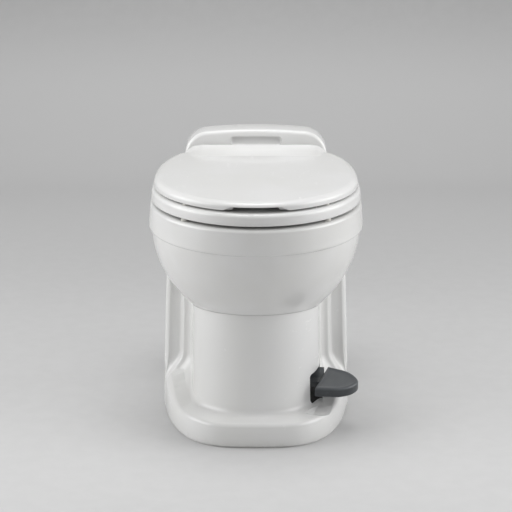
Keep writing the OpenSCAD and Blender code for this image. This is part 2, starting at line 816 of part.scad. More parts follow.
// Stamped lever: nose, sector, hub and the tail that works the water valve
module pedal_lever() {
  up = 180 + mesh_angle;
  pitch = 360 / sector_teeth;
  root = sector_r - (addendum + 0.3) * gear_m;
  lo = up - 5.6 * pitch;
  hi = up + 2.6 * pitch;
  hub = [pivot_y, pivot_z];
  color("#8d9195") difference() {
    union() {
      plate_x(lever_x, lever_x + gear_w) polygon([
        [-84, 77], [-84, 88], [-40, 97], [-20, 97], [10, 94],
        hub + [-24, -1], hub + [-10, 9], hub + [10, 9],
        hub + [valve_back + 8, 6], hub + [valve_back + 8, -4],
        hub + [10, -10], hub + [-14, -11], [-20, 79], [-50, 75]
      ]);
      plate_x(lever_x, lever_x + gear_w) translate(hub) difference() {
        polygon(concat(
          [[0, 0]],
          [for (i = [0 : 10]) let (a = lo + (hi - lo) * i / 10) root * [cos(a), sin(a)]]
        ));
        polygon([for (f = [[0.42, 0.16], [0.84, 0.14], [0.84, 0.8], [0.42, 0.72]])
          let (a = lo + (hi - lo) * f[1]) root * f[0] * [cos(a), sin(a)]]);
      }
      plate_x(lever_x, lever_x + gear_w) translate(hub) polygon([
        for (k = [-5 : 2])
          each [for (p = tooth_points(sector_r, sector_teeth, k))
            [p[0] * cos(up) - p[1] * sin(up), p[0] * sin(up) + p[1] * cos(up)]],
        for (a = [hi, (hi + lo) / 2, lo]) (root - 4) * [cos(a), sin(a)]
      ]);
      rod_x(lever_x, lever_x + gear_w, 13, pivot_y, pivot_z);
    }
    rod_x(lever_x - 1, lever_x + gear_w + 1, pivot_r + run, pivot_y, pivot_z);
    for (y = [-74, -50]) rod_x(lever_x - 1, lever_x + gear_w + 1, 2.2, y, lever_hole_z(y));
  }
}

module pad_screws() {
  color(steel_col) for (y = [-74, -50]) {
    rod_x(lever_x - 0.5, 106, 2, y, lever_hole_z(y));
    rod_x(lever_x - 3, lever_x - 0.02, 4, y, lever_hole_z(y));
  }
}

// Folded steel bracket: two ears for the pivot, the outer one holding the water valve
module pivot_bracket() {
  top = floor_z + floor_t;
  y0 = pivot_y - 16;
  y1 = valve_y + valve_r;
  color(steel_col) difference() {
    union() {
      translate([ear_in_x, y0, top + 0.02]) cube([ear_out_x + plate_t - ear_in_x, y1 - y0, plate_t]);
      plate_x(ear_in_x, ear_in_x + plate_t) hull() {
        translate([pivot_y, pivot_z]) circle(r = 12, $fn = pin_res);
        translate([y0, top + 0.5]) square([32, 2]);
      }
      plate_x(ear_out_x, ear_out_x + plate_t) union() {
        hull() {
          translate([pivot_y, pivot_z]) circle(r = 12, $fn = pin_res);
          translate([y0, top + 0.5]) square([y1 - y0, 2]);
          translate([valve_y - valve_r, valve_z + 20]) square([2 * valve_r, 20]);
        }
      }
    }
    rod_x(ear_in_x - 1, ear_out_x + plate_t + 1, pivot_r + run, pivot_y, pivot_z);
    for (y = [pivot_y - 8, pivot_y + valve_back - 2])
      rod_z(top - 1, top + plate_t + 1, 3.2, valve_x, y);
    for (z = [valve_z + 8, valve_z + 32])
      rod_x(ear_out_x - 1, ear_out_x + plate_t + 1, 2.2, valve_y, z);
  }
}

// Screws that hold the bracket to the floor and the water valve to the bracket
module bracket_screws() {
  color(steel_col) {
    for (y = [pivot_y - 8, pivot_y + valve_back - 2])
      cap_screw(valve_x, y, floor_z + floor_t + plate_t + 0.04, 2.5, 12);
    for (z = [valve_z + 8, valve_z + 32]) {
      rod_x(ear_out_x - 8, ear_out_x + plate_t + 0.5, 2, valve_y, z);
      rod_x(ear_out_x + plate_t + 0.02, ear_out_x + plate_t + 2.6, 4, valve_y, z);
    }
  }
}

module pivot_pin() {
  color(steel_col) difference() {
    union() {
      rod_x(ear_in_x - 3.5, ear_out_x + plate_t + 0.5, pivot_r, pivot_y, pivot_z);
      rod_x(ear_out_x + plate_t + 0.05, ear_out_x + plate_t + 3, pivot_r + 3, pivot_y, pivot_z);
    }
    difference() {
      rod_x(ear_in_x - 2, ear_in_x - 0.8, pivot_r + 1, pivot_y, pivot_z);
      rod_x(ear_in_x - 3, ear_in_x, pivot_r - 1, pivot_y, pivot_z);
    }
  }
}

module pivot_clip() {
  color(steel_col) difference() {
    rod_x(ear_in_x - 1.9, ear_in_x - 0.9, pivot_r + 4, pivot_y, pivot_z);
    rod_x(ear_in_x - 3, ear_in_x, pivot_r - 0.95, pivot_y, pivot_z);
    translate([ear_in_x - 3, pivot_y - 2, pivot_z - 14]) cube([4, 4, 12]);
  }
}

// Torsion spring on the pivot, one leg on the bracket and one under the lever
module return_spring() {
  turns = 3.5;
  x0 = lever_x + gear_w + 1.4;
  x1 = ear_out_x - 1.4;
  coil = [for (i = [0 : 10 * turns])
    let (a = 36 * i)
    [x0 + (x1 - x0) * i / (10 * turns), pivot_y + 8 * cos(a), pivot_z + 8 * sin(a)]];
  last = coil[len(coil) - 1];
  color(steel_col) tube(concat(
    [[x0 - 0.2, pivot_y + 8, pivot_z - 30]],
    coil,
    [last + [0.2, 0, 12], last + [0.2, 0, 26]]
  ), 0.9, 0, [1, 0.01, 0.02], 6);
}

module water_valve() {
  stem = 4;
  color(resin_col) difference() {
    union() {
      rod_z(valve_z, valve_z + 40, valve_r, valve_x, valve_y);
      rod_z(valve_z + 39, valve_z + 56, spigot_r, valve_x, valve_y);
      rod_y(valve_y + 5, inlet_y - 3, 8, valve_x, valve_z + 20);
      rod_y(inlet_y - 3.5, inlet_y - 0.2, 9.6, valve_x, valve_z + 20);
      translate([valve_x, valve_y - 12, valve_z + 2]) cube([valve_r - 0.02, 24, 36]);
    }
    rod_z(valve_z - 1, valve_z + 12, stem + run + 0.02, valve_x, valve_y);
    rod_z(valve_z + 10, valve_z + 32, 8, valve_x, valve_y);
    rod_z(valve_z + 31, valve_z + 57, 3.2, valve_x, valve_y);
    rod_y(valve_y + 2, inlet_y + 1, 5, valve_x, valve_z + 20);
    for (z = [valve_z + 8, valve_z + 32]) rod_x(ear_out_x - 8.2, ear_out_x + 1, 2.05, valve_y, z);
  }
}

module valve_plunger() {
  color(steel_col) union() {
    rod_z(plunger_z, plunger_z + 4, 2, valve_x, valve_y);
    rod_z(plunger_z + 3.9, valve_z + 13, 4, valve_x, valve_y);
    rod_z(valve_z + 12.5, valve_z + 16, 7, valve_x, valve_y);
  }
}

// Captive coupling nut on the inlet, free to spin
module swivel_nut() {
  color(steel_col) difference() {
    translate([valve_x, inlet_y + 12, valve_z + 20]) rotate([90, 0, 0])
      cylinder(h = 22, r = 15, $fn = 6);
    rod_y(inlet_y - 11, inlet_y - 4, 8.25, valve_x, valve_z + 20);
    rod_y(inlet_y - 5, inlet_y + 1, 11, valve_x, valve_z + 20);
    rod_y(inlet_y, inlet_y + 13, inlet_r, valve_x, valve_z + 20);
  }
}

supply_path = smooth([
  [valve_x, valve_y, valve_z + 42], [valve_x, valve_y, valve_z + 50],
  [valve_x, valve_y, valve_z + 58], [valve_x, valve_y, valve_z + 66],
  [valve_x + 2, valve_y + 22, valve_z + 110], [valve_x + 2, valve_y + 66, valve_z + 170],
  [breaker_x + 2, breaker_y - 22, breaker_z - 90], [breaker_x, breaker_y - 13, breaker_z - 58],
  [breaker_x, breaker_y, breaker_z - 30], [breaker_x, breaker_y, breaker_z - 20],
  [breaker_x, breaker_y, breaker_z - 2]
], 3);

module supply_hose() {
  color(rubber_col) tube(concat(supply_path, [[breaker_x, breaker_y, breaker_z - 2]]),
    hose_r, hose_bore, [0.3, -1, 0.05], 10);
}

module hose_clamps() {
  color(steel_col) for (p = [[valve_x, valve_y, valve_z + 47], [breaker_x, breaker_y, breaker_z - 13]])
    difference() {
      union() {
        rod_z(p[2], p[2] + 6, hose_r + 1.3, p[0], p[1]);
        translate([p[0] - 4, p[1] + hose_r - 1, p[2] - 0.5]) cube([8, 6, 7]);
      }
      rod_z(p[2] - 1, p[2] + 7, hose_r + 0.2, p[0], p[1]);
    }
}

module vacuum_breaker() {
  color(resin_col) difference() {
    union() {
      rod_z(breaker_z, breaker_z + 38, breaker_r, breaker_x, breaker_y);
      rod_z(breaker_z - 16, breaker_z + 1, spigot_r, breaker_x, breaker_y);
      rod_x(breaker_x - breaker_r - 15, breaker_x - 12.5, spigot_r, breaker_y, breaker_z + 10);
    }
    rod_z(breaker_z + 14, breaker_z + 39, 12, breaker_x, breaker_y);
    rod_z(breaker_z - 25, breaker_z + 15, 3.4, breaker_x, breaker_y);
    rod_x(breaker_x - breaker_r - 21, breaker_x - 9, 3.2, breaker_y, breaker_z + 10);
  }
}

module breaker_cap() {
  color(resin_col) difference() {
    rod_z(breaker_z + 34, breaker_z + 44, breaker_r + 2.4, breaker_x, breaker_y);
    rod_z(breaker_z + 33, breaker_z + 38.02, breaker_r + 0.02, breaker_x, breaker_y);
    for (a = [0 : 60 : 300])
      rod_z(breaker_z + 37, breaker_z + 45, 1.6, breaker_x + 7 * cos(a), breaker_y + 7 * sin(a));
  }
}

module breaker_float() {
  color("#d9c27a") union() {
    rod_z(breaker_z + 14.05, breaker_z + 19, 11.4, breaker_x, breaker_y);
    rod_z(breaker_z + 18.9, breaker_z + 28, 3, breaker_x, breaker_y);
  }
}

rim_path = smooth([
  for (out = [3, 16, 24]) [breaker_x - breaker_r - out, breaker_y, breaker_z + 10],
  [16, breaker_y + 1, breaker_z + 4],
  [2, breaker_y - 3, rim_z - 8], [0, breaker_y - 14, rim_z - 19],
  [0, hump_front_y - 5, rim_z - 22], [0, tube_end_y + 25, rim_z - 22], [0, tube_end_y, rim_z - 22]
], 3);

module rim_tube() {
  color(rubber_col) tube(concat(rim_path, [[0, tube_end_y, rim_z - 22]]),
    hose_r, hose_bore, [0.2, 0.3, 1], 10);
}

// Ring of the seat's outside, and of its opening
function seat_ring_out(inset, z) =
  [for (p = egg(seat_half_w - inset, seat_front - inset, 262 - inset, rim_centre_y, z))
    [p[0], min(p[1], lid_back_y + 2 - inset * 0.4), z]];
function seat_ring_in(grow, z) =
  egg(seat_mouth_half_w + grow, seat_front - seat_half_w + seat_mouth_half_w + 2 + grow,
    seat_mouth_half_w - 4 + grow, rim_centre_y, z, ring_n, 2.2);

// Lid's cover over the hinge: a strip that rolls round the barrels and ends behind them
module hinge_cover(x0, x1) {
  c = [hinge_y, hinge_z];
  plate_x(x0, x1) polygon(concat(
    [[lid_back_y - 12, lid_z + 8], [lid_back_y - 12, lid_z + lid_t - 0.4]],
    [for (a = [112 : -9 : 58]) c + cover_r * [cos(a), sin(a)]],
    [for (a = [58 : 67 / 6 : 125.5]) c + (barrel_r + 0.4) * [cos(a), sin(a)]]
  ));
}

// Arm that carries the seat or lid to its barrel on the hinge line
module hinge_arm(x0, x1, low, high, from_y, r = barrel_r) {
  plate_x(x0, x1) union() {
    translate([hinge_y, hinge_z]) circle(r = r, $fn = pin_res);
    polygon([
      [from_y, low], [from_y, high], [from_y + 5, high],
      [hinge_y - 7, hinge_z + 7.4], [hinge_y, hinge_z], [hinge_y - 4, hinge_z - 9.4],
      [from_y + 13, low]
    ]);
  }
}

module seat_ring() {
  color(china_col) difference() {
    union() {
      resize([2 * seat_half_w, 0, 0]) skin([
        seat_ring_out(2.5, seat_z), seat_ring_out(0.6, seat_z + 2.5), seat_ring_out(0, seat_z + 8),
        seat_ring_out(1, seat_top - 5), seat_ring_out(2.8, seat_top - 1.6), seat_ring_out(6, seat_top - 0.2),
        seat_ring_out(10, seat_top),
        seat_ring_in(14, seat_top - 1), seat_ring_in(6, seat_top - 4), seat_ring_in(1.5, seat_top - 9),
        seat_ring_in(0, seat_top - 14), seat_ring_in(1.5, seat_z),
        seat_ring_in(8, seat_z), seat_ring_in(9.5, seat_z + 11),
        seat_ring_out(12, seat_z + 11), seat_ring_out(10.5, seat_z)
      ], true);
      for (s = [0, 1]) mirror([s, 0, 0])
        hinge_arm(lid_barrel_half + 1, lid_barrel_half + 1 + seat_knuckle,
          seat_z + 6, seat_top - 3, lid_back_y - 8);
    }
    rod_x(-120, 120, hinge_pin_r + run, hinge_y, hinge_z);
  }
}

// Places of the rubber bumpers under the seat and under the lid
seat_spots = [[122, -180], [171, 60]];
lid_spots = [[120, -175], [167, 60]];

module seat_bumpers() {
  color("#f2f2ee") for (p = seat_spots, s = [-1, 1])
    rod_z(rim_z + 0.05, seat_z - 0.02, 6, s * p[0], p[1]);
}

module lid_bumpers() {
  color("#f2f2ee") for (p = lid_spots, s = [-1, 1])
    rod_z(seat_top + 0.05, lid_z - 0.02, 5.5, s * p[0], p[1]);
}

// Ring of the lid, inset from its edge, with a straight back
function lid_ring(inset, z, share = 1) =
  [for (p = egg(lid_half_w - inset, lid_front - inset, 260 - inset, rim_centre_y, z))
    [p[0] * share, (min(p[1], lid_back_y - inset * 0.35) - 10) * share + 10, z]];

module lid() {
  top = lid_z + lid_t;
  color(china_col) difference() {
    union() {
      resize([2 * lid_half_w, 0, 0]) difference() {
        skin([
          lid_ring(13, lid_z + 8, 0.3), lid_ring(13, lid_z + 8), lid_ring(11.5, lid_z), lid_ring(1.6, lid_z),
          lid_ring(0.3, lid_z + 1.2), lid_ring(0, lid_z + 3), lid_ring(0.8, lid_z + 7), lid_ring(3, lid_z + 11),
          lid_ring(6, lid_z + 13.4), lid_ring(9.5, top - 0.4), lid_ring(14, top),
          for (k = [[0.3, 0.85], [0.65, 0.6], [0.92, 0.3], [1, 0.05]])
            lid_ring(14, top + lid_crown * k[0], k[1])
        ]);
        translate([0, rim_centre_y - lid_front + 17, lid_z - 4]) rotate([90, 0, 0])
          linear_extrude(height = 40) offset(r = 3, $fn = 24) offset(delta = -3)
            polygon([[-notch_w / 2 - 4, -10], [-notch_w / 2 - 3, 3], [-notch_w / 2 + 12, 4 + notch_h],
              [notch_w / 2 - 12, 4 + notch_h], [notch_w / 2 + 3, 3], [notch_w / 2 + 4, -10]]);
      }
      hinge_arm(-lid_barrel_half, lid_barrel_half, lid_z + 2, top - 2, lid_back_y - 6, cover_r - 0.8);
      hinge_cover(-cover_half, cover_half);
    }
    rod_x(-120, 120, hinge_pin_r + run, hinge_y, hinge_z);
  }
}

module hinge_pin() {
  color(steel_col) rod_x(-post_x - 4, post_x + 4, hinge_pin_r, hinge_y, hinge_z);
}

module hinge_posts() {
  color(china_col) for (s = [0, 1]) mirror([s, 0, 0]) difference() {
    union() {
      rod_x(post_x - post_t / 2, post_x + post_t / 2, barrel_r, hinge_y, hinge_z);
      translate([post_x - post_t / 2, hinge_y - 7.5, rim_z + 0.05])
        cube([post_t, 15, hinge_z - rim_z]);
      translate([post_x - post_t / 2 - 2, hinge_y - barrel_r - 2, rim_z + 0.05])
        cube([post_t + 4, 2 * barrel_r + 4, 5]);
    }
    rod_x(post_x - post_t, post_x + 4.2, hinge_pin_r + run, hinge_y, hinge_z);
    rod_z(rim_z - 1, hinge_z - 12, 5.05, post_x, hinge_y);
  }
}

module hinge_bolts() {
  color(steel_col) for (s = [-1, 1]) rod_z(rim_z - 36, hinge_z - 12.2, 5, s * post_x, hinge_y);
}

// Wing nuts under the deck
module hinge_nuts() {
  z = rim_z - china - 11;
  color(resin_col) for (s = [-1, 1]) difference() {
    union() {
      rod_z(z, z + 9.95, 9, s * post_x, hinge_y);
      translate([s * post_x - 17, hinge_y - 2, z - 6]) cube([34, 4, 12]);
    }
    rod_z(z - 8, z + 12, 5.05, s * post_x, hinge_y);
  }
}

// Seal that beds the spigot on the floor flange
module floor_seal() {
  color(rubber_col) difference() {
    rod_z(8, floor_z - 0.05, 62);
    rod_z(7, floor_z + 1, outlet_r + spigot_wall + 0.3);
  }
}

base_shell();
bowl();
bowl_gasket();
ball_seal();
valve_body();
valve_screws();
clamp_half_front();
clamp_half_rear();
clamp_screws();
shaft_bushes();
flush_ball();
ball_shaft();
stub_axle();
pedal_lever();
pedal_pad();
pad_screws();
pivot_bracket();
bracket_screws();
pivot_pin();
pivot_clip();
return_spring();
water_valve();
valve_plunger();
swivel_nut();
supply_hose();
hose_clamps();
vacuum_breaker();
breaker_cap();
breaker_float();
rim_tube();
seat_ring();
seat_bumpers();
lid();
lid_bumpers();
hinge_pin();
hinge_posts();
hinge_bolts();
hinge_nuts();
floor_seal();
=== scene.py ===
"""Pedal-flush travel toilet in white china and moulded plastic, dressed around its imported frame."""

import logging
import math
from dataclasses import dataclass
from enum import Enum

import bpy
import numpy as np
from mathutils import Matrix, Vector


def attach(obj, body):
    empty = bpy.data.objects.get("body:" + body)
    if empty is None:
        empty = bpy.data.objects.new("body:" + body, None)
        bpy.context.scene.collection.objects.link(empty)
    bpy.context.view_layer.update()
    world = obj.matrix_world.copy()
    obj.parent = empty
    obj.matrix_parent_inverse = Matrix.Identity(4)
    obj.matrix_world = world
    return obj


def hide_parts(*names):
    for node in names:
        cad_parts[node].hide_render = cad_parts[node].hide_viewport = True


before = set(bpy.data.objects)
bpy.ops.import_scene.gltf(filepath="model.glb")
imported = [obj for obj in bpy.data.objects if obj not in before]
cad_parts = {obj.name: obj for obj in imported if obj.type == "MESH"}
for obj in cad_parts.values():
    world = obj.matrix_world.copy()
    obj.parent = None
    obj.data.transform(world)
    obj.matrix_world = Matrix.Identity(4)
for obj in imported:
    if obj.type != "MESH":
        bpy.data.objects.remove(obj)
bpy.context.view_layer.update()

Solid = bpy.types.Object
Ring = np.ndarray
Pair = tuple[float, float]
Triple = tuple[float, float, float]

LOG = logging.getLogger("toilet")
MM = 0.001
SMOOTH_LIMIT = math.radians(32)


# Shader toolkit


class Wire:
    """One output socket of a material's nodes, which arithmetic can be written on."""

    def __init__(self, graph: "Graph", socket: bpy.types.NodeSocket) -> None:
        """Keeps the socket and the graph that it belongs to."""
        self.graph = graph
        self.socket = socket

    def _math(self, operation: str, first: "Wire | float", second: "Wire | float") -> "Wire":
        """Adds a Math node and returns its output."""
        return self.graph.add("ShaderNodeMath", {"operation": operation}, {0: first, 1: second})

    def __add__(self, other: "Wire | float") -> "Wire":
        """self + other"""
        return self._math("ADD", self, other)

    def __sub__(self, other: "Wire | float") -> "Wire":
        """self - other"""
        return self._math("SUBTRACT", self, other)

    def __rsub__(self, other: "Wire | float") -> "Wire":
        """other - self"""
        return self._math("SUBTRACT", other, self)

    def __mul__(self, other: "Wire | float") -> "Wire":
        """self * other"""
        return self._math("MULTIPLY", self, other)

    def fit(self, low: float, high: float, to_low: float = 0.0, to_high: float = 1.0) -> "Wire":
        """Maps a span of values smoothly onto another span.

        Args:
            low: value that becomes to_low.
            high: value that becomes to_high.
            to_low: result at and below low.
            to_high: result at and above high.

        Returns:
            The mapped value.
        """
        return self.graph.add(
            "ShaderNodeMapRange",
            {"interpolation_type": "SMOOTHSTEP"},
            {0: self, 1: low, 2: high, 3: to_low, 4: to_high},
        )


class Graph:
    """The node tree of one material, with its Principled shader."""

    def __init__(self, name: str) -> None:
        """Creates the material and its shader.

        Args:
            name: the material's name.
        """
        self.material = bpy.data.materials.new(name)
        self.material.use_nodes = True
        self.nodes = self.material.node_tree.nodes
        self.links = self.material.node_tree.links
        self.shader = next(n for n in self.nodes if n.type == "BSDF_PRINCIPLED")
        self._coords: Wire | None = None

    def add(
        self,
        kind: str,
        settings: dict[str, object] | None = None,
        sockets: dict[object, object] | None = None,
        output: int | str = 0,
    ) -> Wire:
        """Adds a node of any type.

        Args:
            kind: the node's Blender type.
            settings: properties set before the sockets.
            sockets: values or wires by socket name or number.
            output: which output to return.

        Returns:
            The chosen output.
        """
        node = self.nodes.new(kind)
        for key, value in (settings or {}).items():
            setattr(node, key, value)
        for key, value in (sockets or {}).items():
            self._feed(node.inputs[key], value)
        return Wire(self, node.outputs[output])

    def _feed(self, target: bpy.types.NodeSocket, value: object) -> None:
        """Links a wire to an input, or writes a plain value on it."""
        if isinstance(value, Wire):
            self.links.new(value.socket, target)
        else:
            target.default_value = value

    @property
    def coords(self) -> Wire:
        """The object's own coordinates, in metres."""
        if self._coords is None:
            self._coords = self.add("ShaderNodeTexCoord", output="Object")
        return self._coords

    def stretched(self, x: float, y: float, z: float) -> Wire:
        """Object coordinates scaled apart along each axis."""
        sockets = {"Vector": self.coords, "Scale": (x, y, z)}
        return self.add("ShaderNodeMapping", {"vector_type": "POINT"}, sockets)

    def noise(
        self, scale: float, detail: float = 4.0, rough: float = 0.55, at: Wire | None = None
    ) -> Wire:
        """Fractal noise from 0 to 1.

        Args:
            scale: waves per metre.
            detail: octaves.
            rough: strength of the finer octaves.
            at: coordinates, or None for the object's own.

        Returns:
            The noise value.
        """
        sockets = {"Vector": at or self.coords, "Scale": scale, "Detail": detail}
        return self.add("ShaderNodeTexNoise", None, {**sockets, "Roughness": rough})

    def cells(self, scale: float) -> Wire:
        """Distance to the nearest of scattered points, with scale cells per metre."""
        sockets = {"Vector": self.coords, "Scale": scale}
        return self.add("ShaderNodeTexVoronoi", None, sockets, "Distance")

    def height(self, axis: int = 2) -> Wire:
        """One component of the object coordinates, in metres."""
        return self.add("ShaderNodeSeparateXYZ", None, {0: self.coords}, axis)

    def mix(self, factor: Wire | float, first: object, second: object) -> Wire:
        """Mixes two colours by a factor."""
        sockets = {0: factor, 6: first, 7: second}
        return self.add("ShaderNodeMix", {"data_type": "RGBA"}, sockets, 2)

    def bump(self, layers: list[tuple[Wire, float]]) -> None:
        """Chains bump layers into the shader's normal.

        Args:
            layers: pairs of a height value and its depth in millimetres.
        """
        normal = None
        for value, depth in layers:
            sockets = {"Height": value, "Distance": depth * MM, "Strength": 1.0}
            if normal is not None:
                sockets["Normal"] = normal
            normal = self.add("ShaderNodeBump", None, sockets)
        self.set(Normal=normal)

    def set(self, **values: object) -> None:
        """Sets the shader's sockets, whose names are written with underscores for spaces."""
        for key, value in values.items():
            self._feed(self.shader.inputs[key.replace("_", " ")], value)


def rgba(r: float, g: float, b: float) -> tuple[float, float, float, float]:
    """A linear colour with full alpha."""
    return (r, g, b, 1.0)


BLACK = rgba(0, 0, 0)
WHITE = rgba(1, 1, 1)


def times(colour: Triple, share: float) -> tuple[float, float, float, float]:
    """A colour made lighter or darker by a share."""
    return rgba(*(c * share for c in colour))


# Finishes

GLASSY_IOR = 1.52  # of glaze and of rubber's bloom
GLOSS_IOR = 1.49
MOULDING_IOR = 1.46
COAT_ROUGHNESS = 0.1


@dataclass(frozen=True)
class Glaze:
    """Fired white glaze over china: wet gloss, slow ripple, pinholes and a warm thin tint."""

    name: str = "fired_glaze"
    body: Triple = (0.81, 0.81, 0.805)
    thin: Triple = (0.78, 0.778, 0.765)
    ripple_mm: float = 0.22

    def build(self) -> bpy.types.Material:
        """Makes the material."""
        g = Graph(self.name)
        pool = g.noise(9.0, 2.0)
        ripple = g.noise(38.0, 2.0, 0.4)
        pits = g.cells(240.0).fit(0.02, 0.07)
        speck = g.noise(420.0, 1.0).fit(0.74, 0.8)
        tone = g.mix(pool.fit(0.35, 0.7), rgba(*self.thin), rgba(*self.body))
        g.set(
            Base_Color=g.mix(speck * 0.12, tone, rgba(0.62, 0.6, 0.54)),
            Roughness=pool.fit(0.3, 0.7, 0.15, 0.2),
            IOR=GLASSY_IOR,
            Coat_Weight=0.3,
            Coat_Roughness=COAT_ROUGHNESS,
        )
        g.bump([(ripple, self.ripple_mm), (pits, 0.012)])
        return g.material


@dataclass(frozen=True)
class Gloss:
    """Injection-moulded white plastic with flow marks, fine rubs and a little floor dust."""

    name: str
    body: Triple = (0.8, 0.8, 0.797)
    rough: float = 0.16
    flow_mm: float = 0.1
    dust_top: float = 0.0

    def build(self) -> bpy.types.Material:
        """Makes the material."""
        g = Graph(self.name)
        flow = g.noise(6.0, 3.0, at=g.stretched(1.0, 1.0, 0.3))
        peel = g.noise(160.0, 2.0)
        rubs = g.noise(70.0, 5.0, 0.7, at=g.stretched(1.0, 0.2, 1.0)).fit(0.58, 0.7)
        r, gr, b = self.body
        tone = g.mix(flow.fit(0.3, 0.72), rgba(r * 0.965, gr * 0.965, b * 0.95), rgba(r, gr, b))
        if self.dust_top > 0:
            low = g.height().fit(0.0, self.dust_top, 1.0, 0.0)
            dust = low * g.noise(55.0, 5.0, 0.65).fit(0.35, 0.8)
            tone = g.mix(dust * 0.3, tone, rgba(0.5, 0.48, 0.44))
        g.set(
            Base_Color=tone,
            Roughness=flow.fit(0.3, 0.7, self.rough, self.rough + 0.06) + rubs * 0.1,
            IOR=GLOSS_IOR,
            Coat_Weight=0.25,
            Coat_Roughness=COAT_ROUGHNESS,
        )
        g.bump([(flow, self.flow_mm), (peel, 0.01)])
        return g.material


PAD_SLOPE = 0.14  # the pedal pad's rise toward its back
PAD_EDGE = (0.102, 0.106)  # x where the pad's painted top light begins, in metres
SHROUD_SHADE_EDGE = (0.094, 0.099)  # x where the pedal's painted slot shade ends, in metres
INNER_DEPTH = (0.0, 0.16)  # y over which the shell's inner face comes into the light, in metres


@dataclass(frozen=True)
class Moulding:
    """Plain matt moulded plastic: spark-eroded grain, flow shade and polish on the worn places.

    The pedal's top is painted lighter above its given height, as painted light from above, and its
    shroud near-black, as painted shade in the slot; dim_ahead darkens the inner face of the shell
    toward the front, where no light comes in.
    """

    name: str
    body: Triple
    # The scuff colour; for the pedal it is also the painted light on its top.
    worn: Triple
    rough: float = 0.5
    grain: float = 900.0
    grain_mm: float = 0.03
    top_light_from_m: float = 0.0
    coat: float = 0.0
    dim_ahead: bool = False

    def build(self) -> bpy.types.Material:
        """Makes the material."""
        g = Graph(self.name)
        grain = g.cells(self.grain)
        cloud = g.noise(26.0, 5.0)
        scuff = g.noise(120.0, 6.0, 0.75, at=g.stretched(0.35, 1.0, 1.0)).fit(0.6, 0.72)
        tone = g.mix(cloud.fit(0.3, 0.75), rgba(*self.body), times(self.body, 1.18))
        if self.dim_ahead:
            tone = g.mix(g.height(1).fit(*INNER_DEPTH), rgba(0.004, 0.004, 0.004), tone)
        # Painted light: the pad's top above a height is painted lighter, as light falling from above.
        if self.top_light_from_m > 0:
            level = g.height() - g.height(1) * PAD_SLOPE
            top = level.fit(self.top_light_from_m, self.top_light_from_m + 0.004)
            painted_top_light = top * g.height(0).fit(*PAD_EDGE)
            tone = g.mix(painted_top_light * 0.8, tone, rgba(*self.worn))
            # Painted shade: the shroud and web inside the slot are painted near-black.
            shroud = g.height(0).fit(*SHROUD_SHADE_EDGE, 0.25, 1.0)
            tone = g.mix(shroud, rgba(0.002, 0.002, 0.002), tone)
        g.set(
            Base_Color=g.mix(scuff * 0.45, tone, rgba(*self.worn)),
            Roughness=cloud.fit(0.3, 0.7, self.rough - 0.07, self.rough + 0.07) - scuff * 0.08,
            IOR=MOULDING_IOR,
            Coat_Weight=self.coat,
            Coat_Roughness=0.16,
        )
        g.bump([(grain, self.grain_mm), (cloud, 0.12)])
        return g.material


@dataclass(frozen=True)
class Steel:
    """Stainless or plated steel with a drawn grain along one axis."""

    name: str
    body: Triple = (0.56, 0.56, 0.57)
    rough: float = 0.28
    grain: Triple = (18.0, 420.0, 420.0)
    stain: float = 0.25

    def build(self) -> bpy.types.Material:
        """Makes the material."""
        g = Graph(self.name)
        lines = g.noise(1.0, 3.0, 0.6, at=g.stretched(*self.grain))
        cloud = g.noise(48.0, 5.0, 0.6)
        fog = g.noise(240.0, 4.0, 0.7).fit(0.56, 0.7)
        tone = g.mix(lines.fit(0.25, 0.75), times(self.body, 0.8), rgba(*self.body))
        g.set(
            Base_Color=g.mix(cloud.fit(0.5, 0.85) * self.stain, tone, rgba(0.34, 0.31, 0.27)),
            Metallic=1.0,
            Roughness=lines.fit(0.2, 0.8, self.rough - 0.07, self.rough + 0.1) + fog * 0.08,
        )
        g.bump([(lines, 0.02), (fog, 0.008)])
        return g.material


@dataclass(frozen=True)
class Rubber:
    """Dull rubber with bloom, mould grain and a soft sheen."""

    name: str
    body: Triple = (0.022, 0.022, 0.024)
    bloom: Triple = (0.11, 0.11, 0.105)

    def build(self) -> bpy.types.Material:
        """Makes the material."""
        g = Graph(self.name)
        bloom = g.noise(60.0, 6.0, 0.7)
        grain = g.noise(1300.0, 2.0)
        g.set(
            Base_Color=g.mix(bloom.fit(0.5, 0.8) * 0.5, rgba(*self.body), rgba(*self.bloom)),
            Roughness=bloom.fit(0.3, 0.7, 0.5, 0.72),
            IOR=GLASSY_IOR,
        )
        g.bump([(grain, 0.02), (bloom, 0.06)])
        return g.material


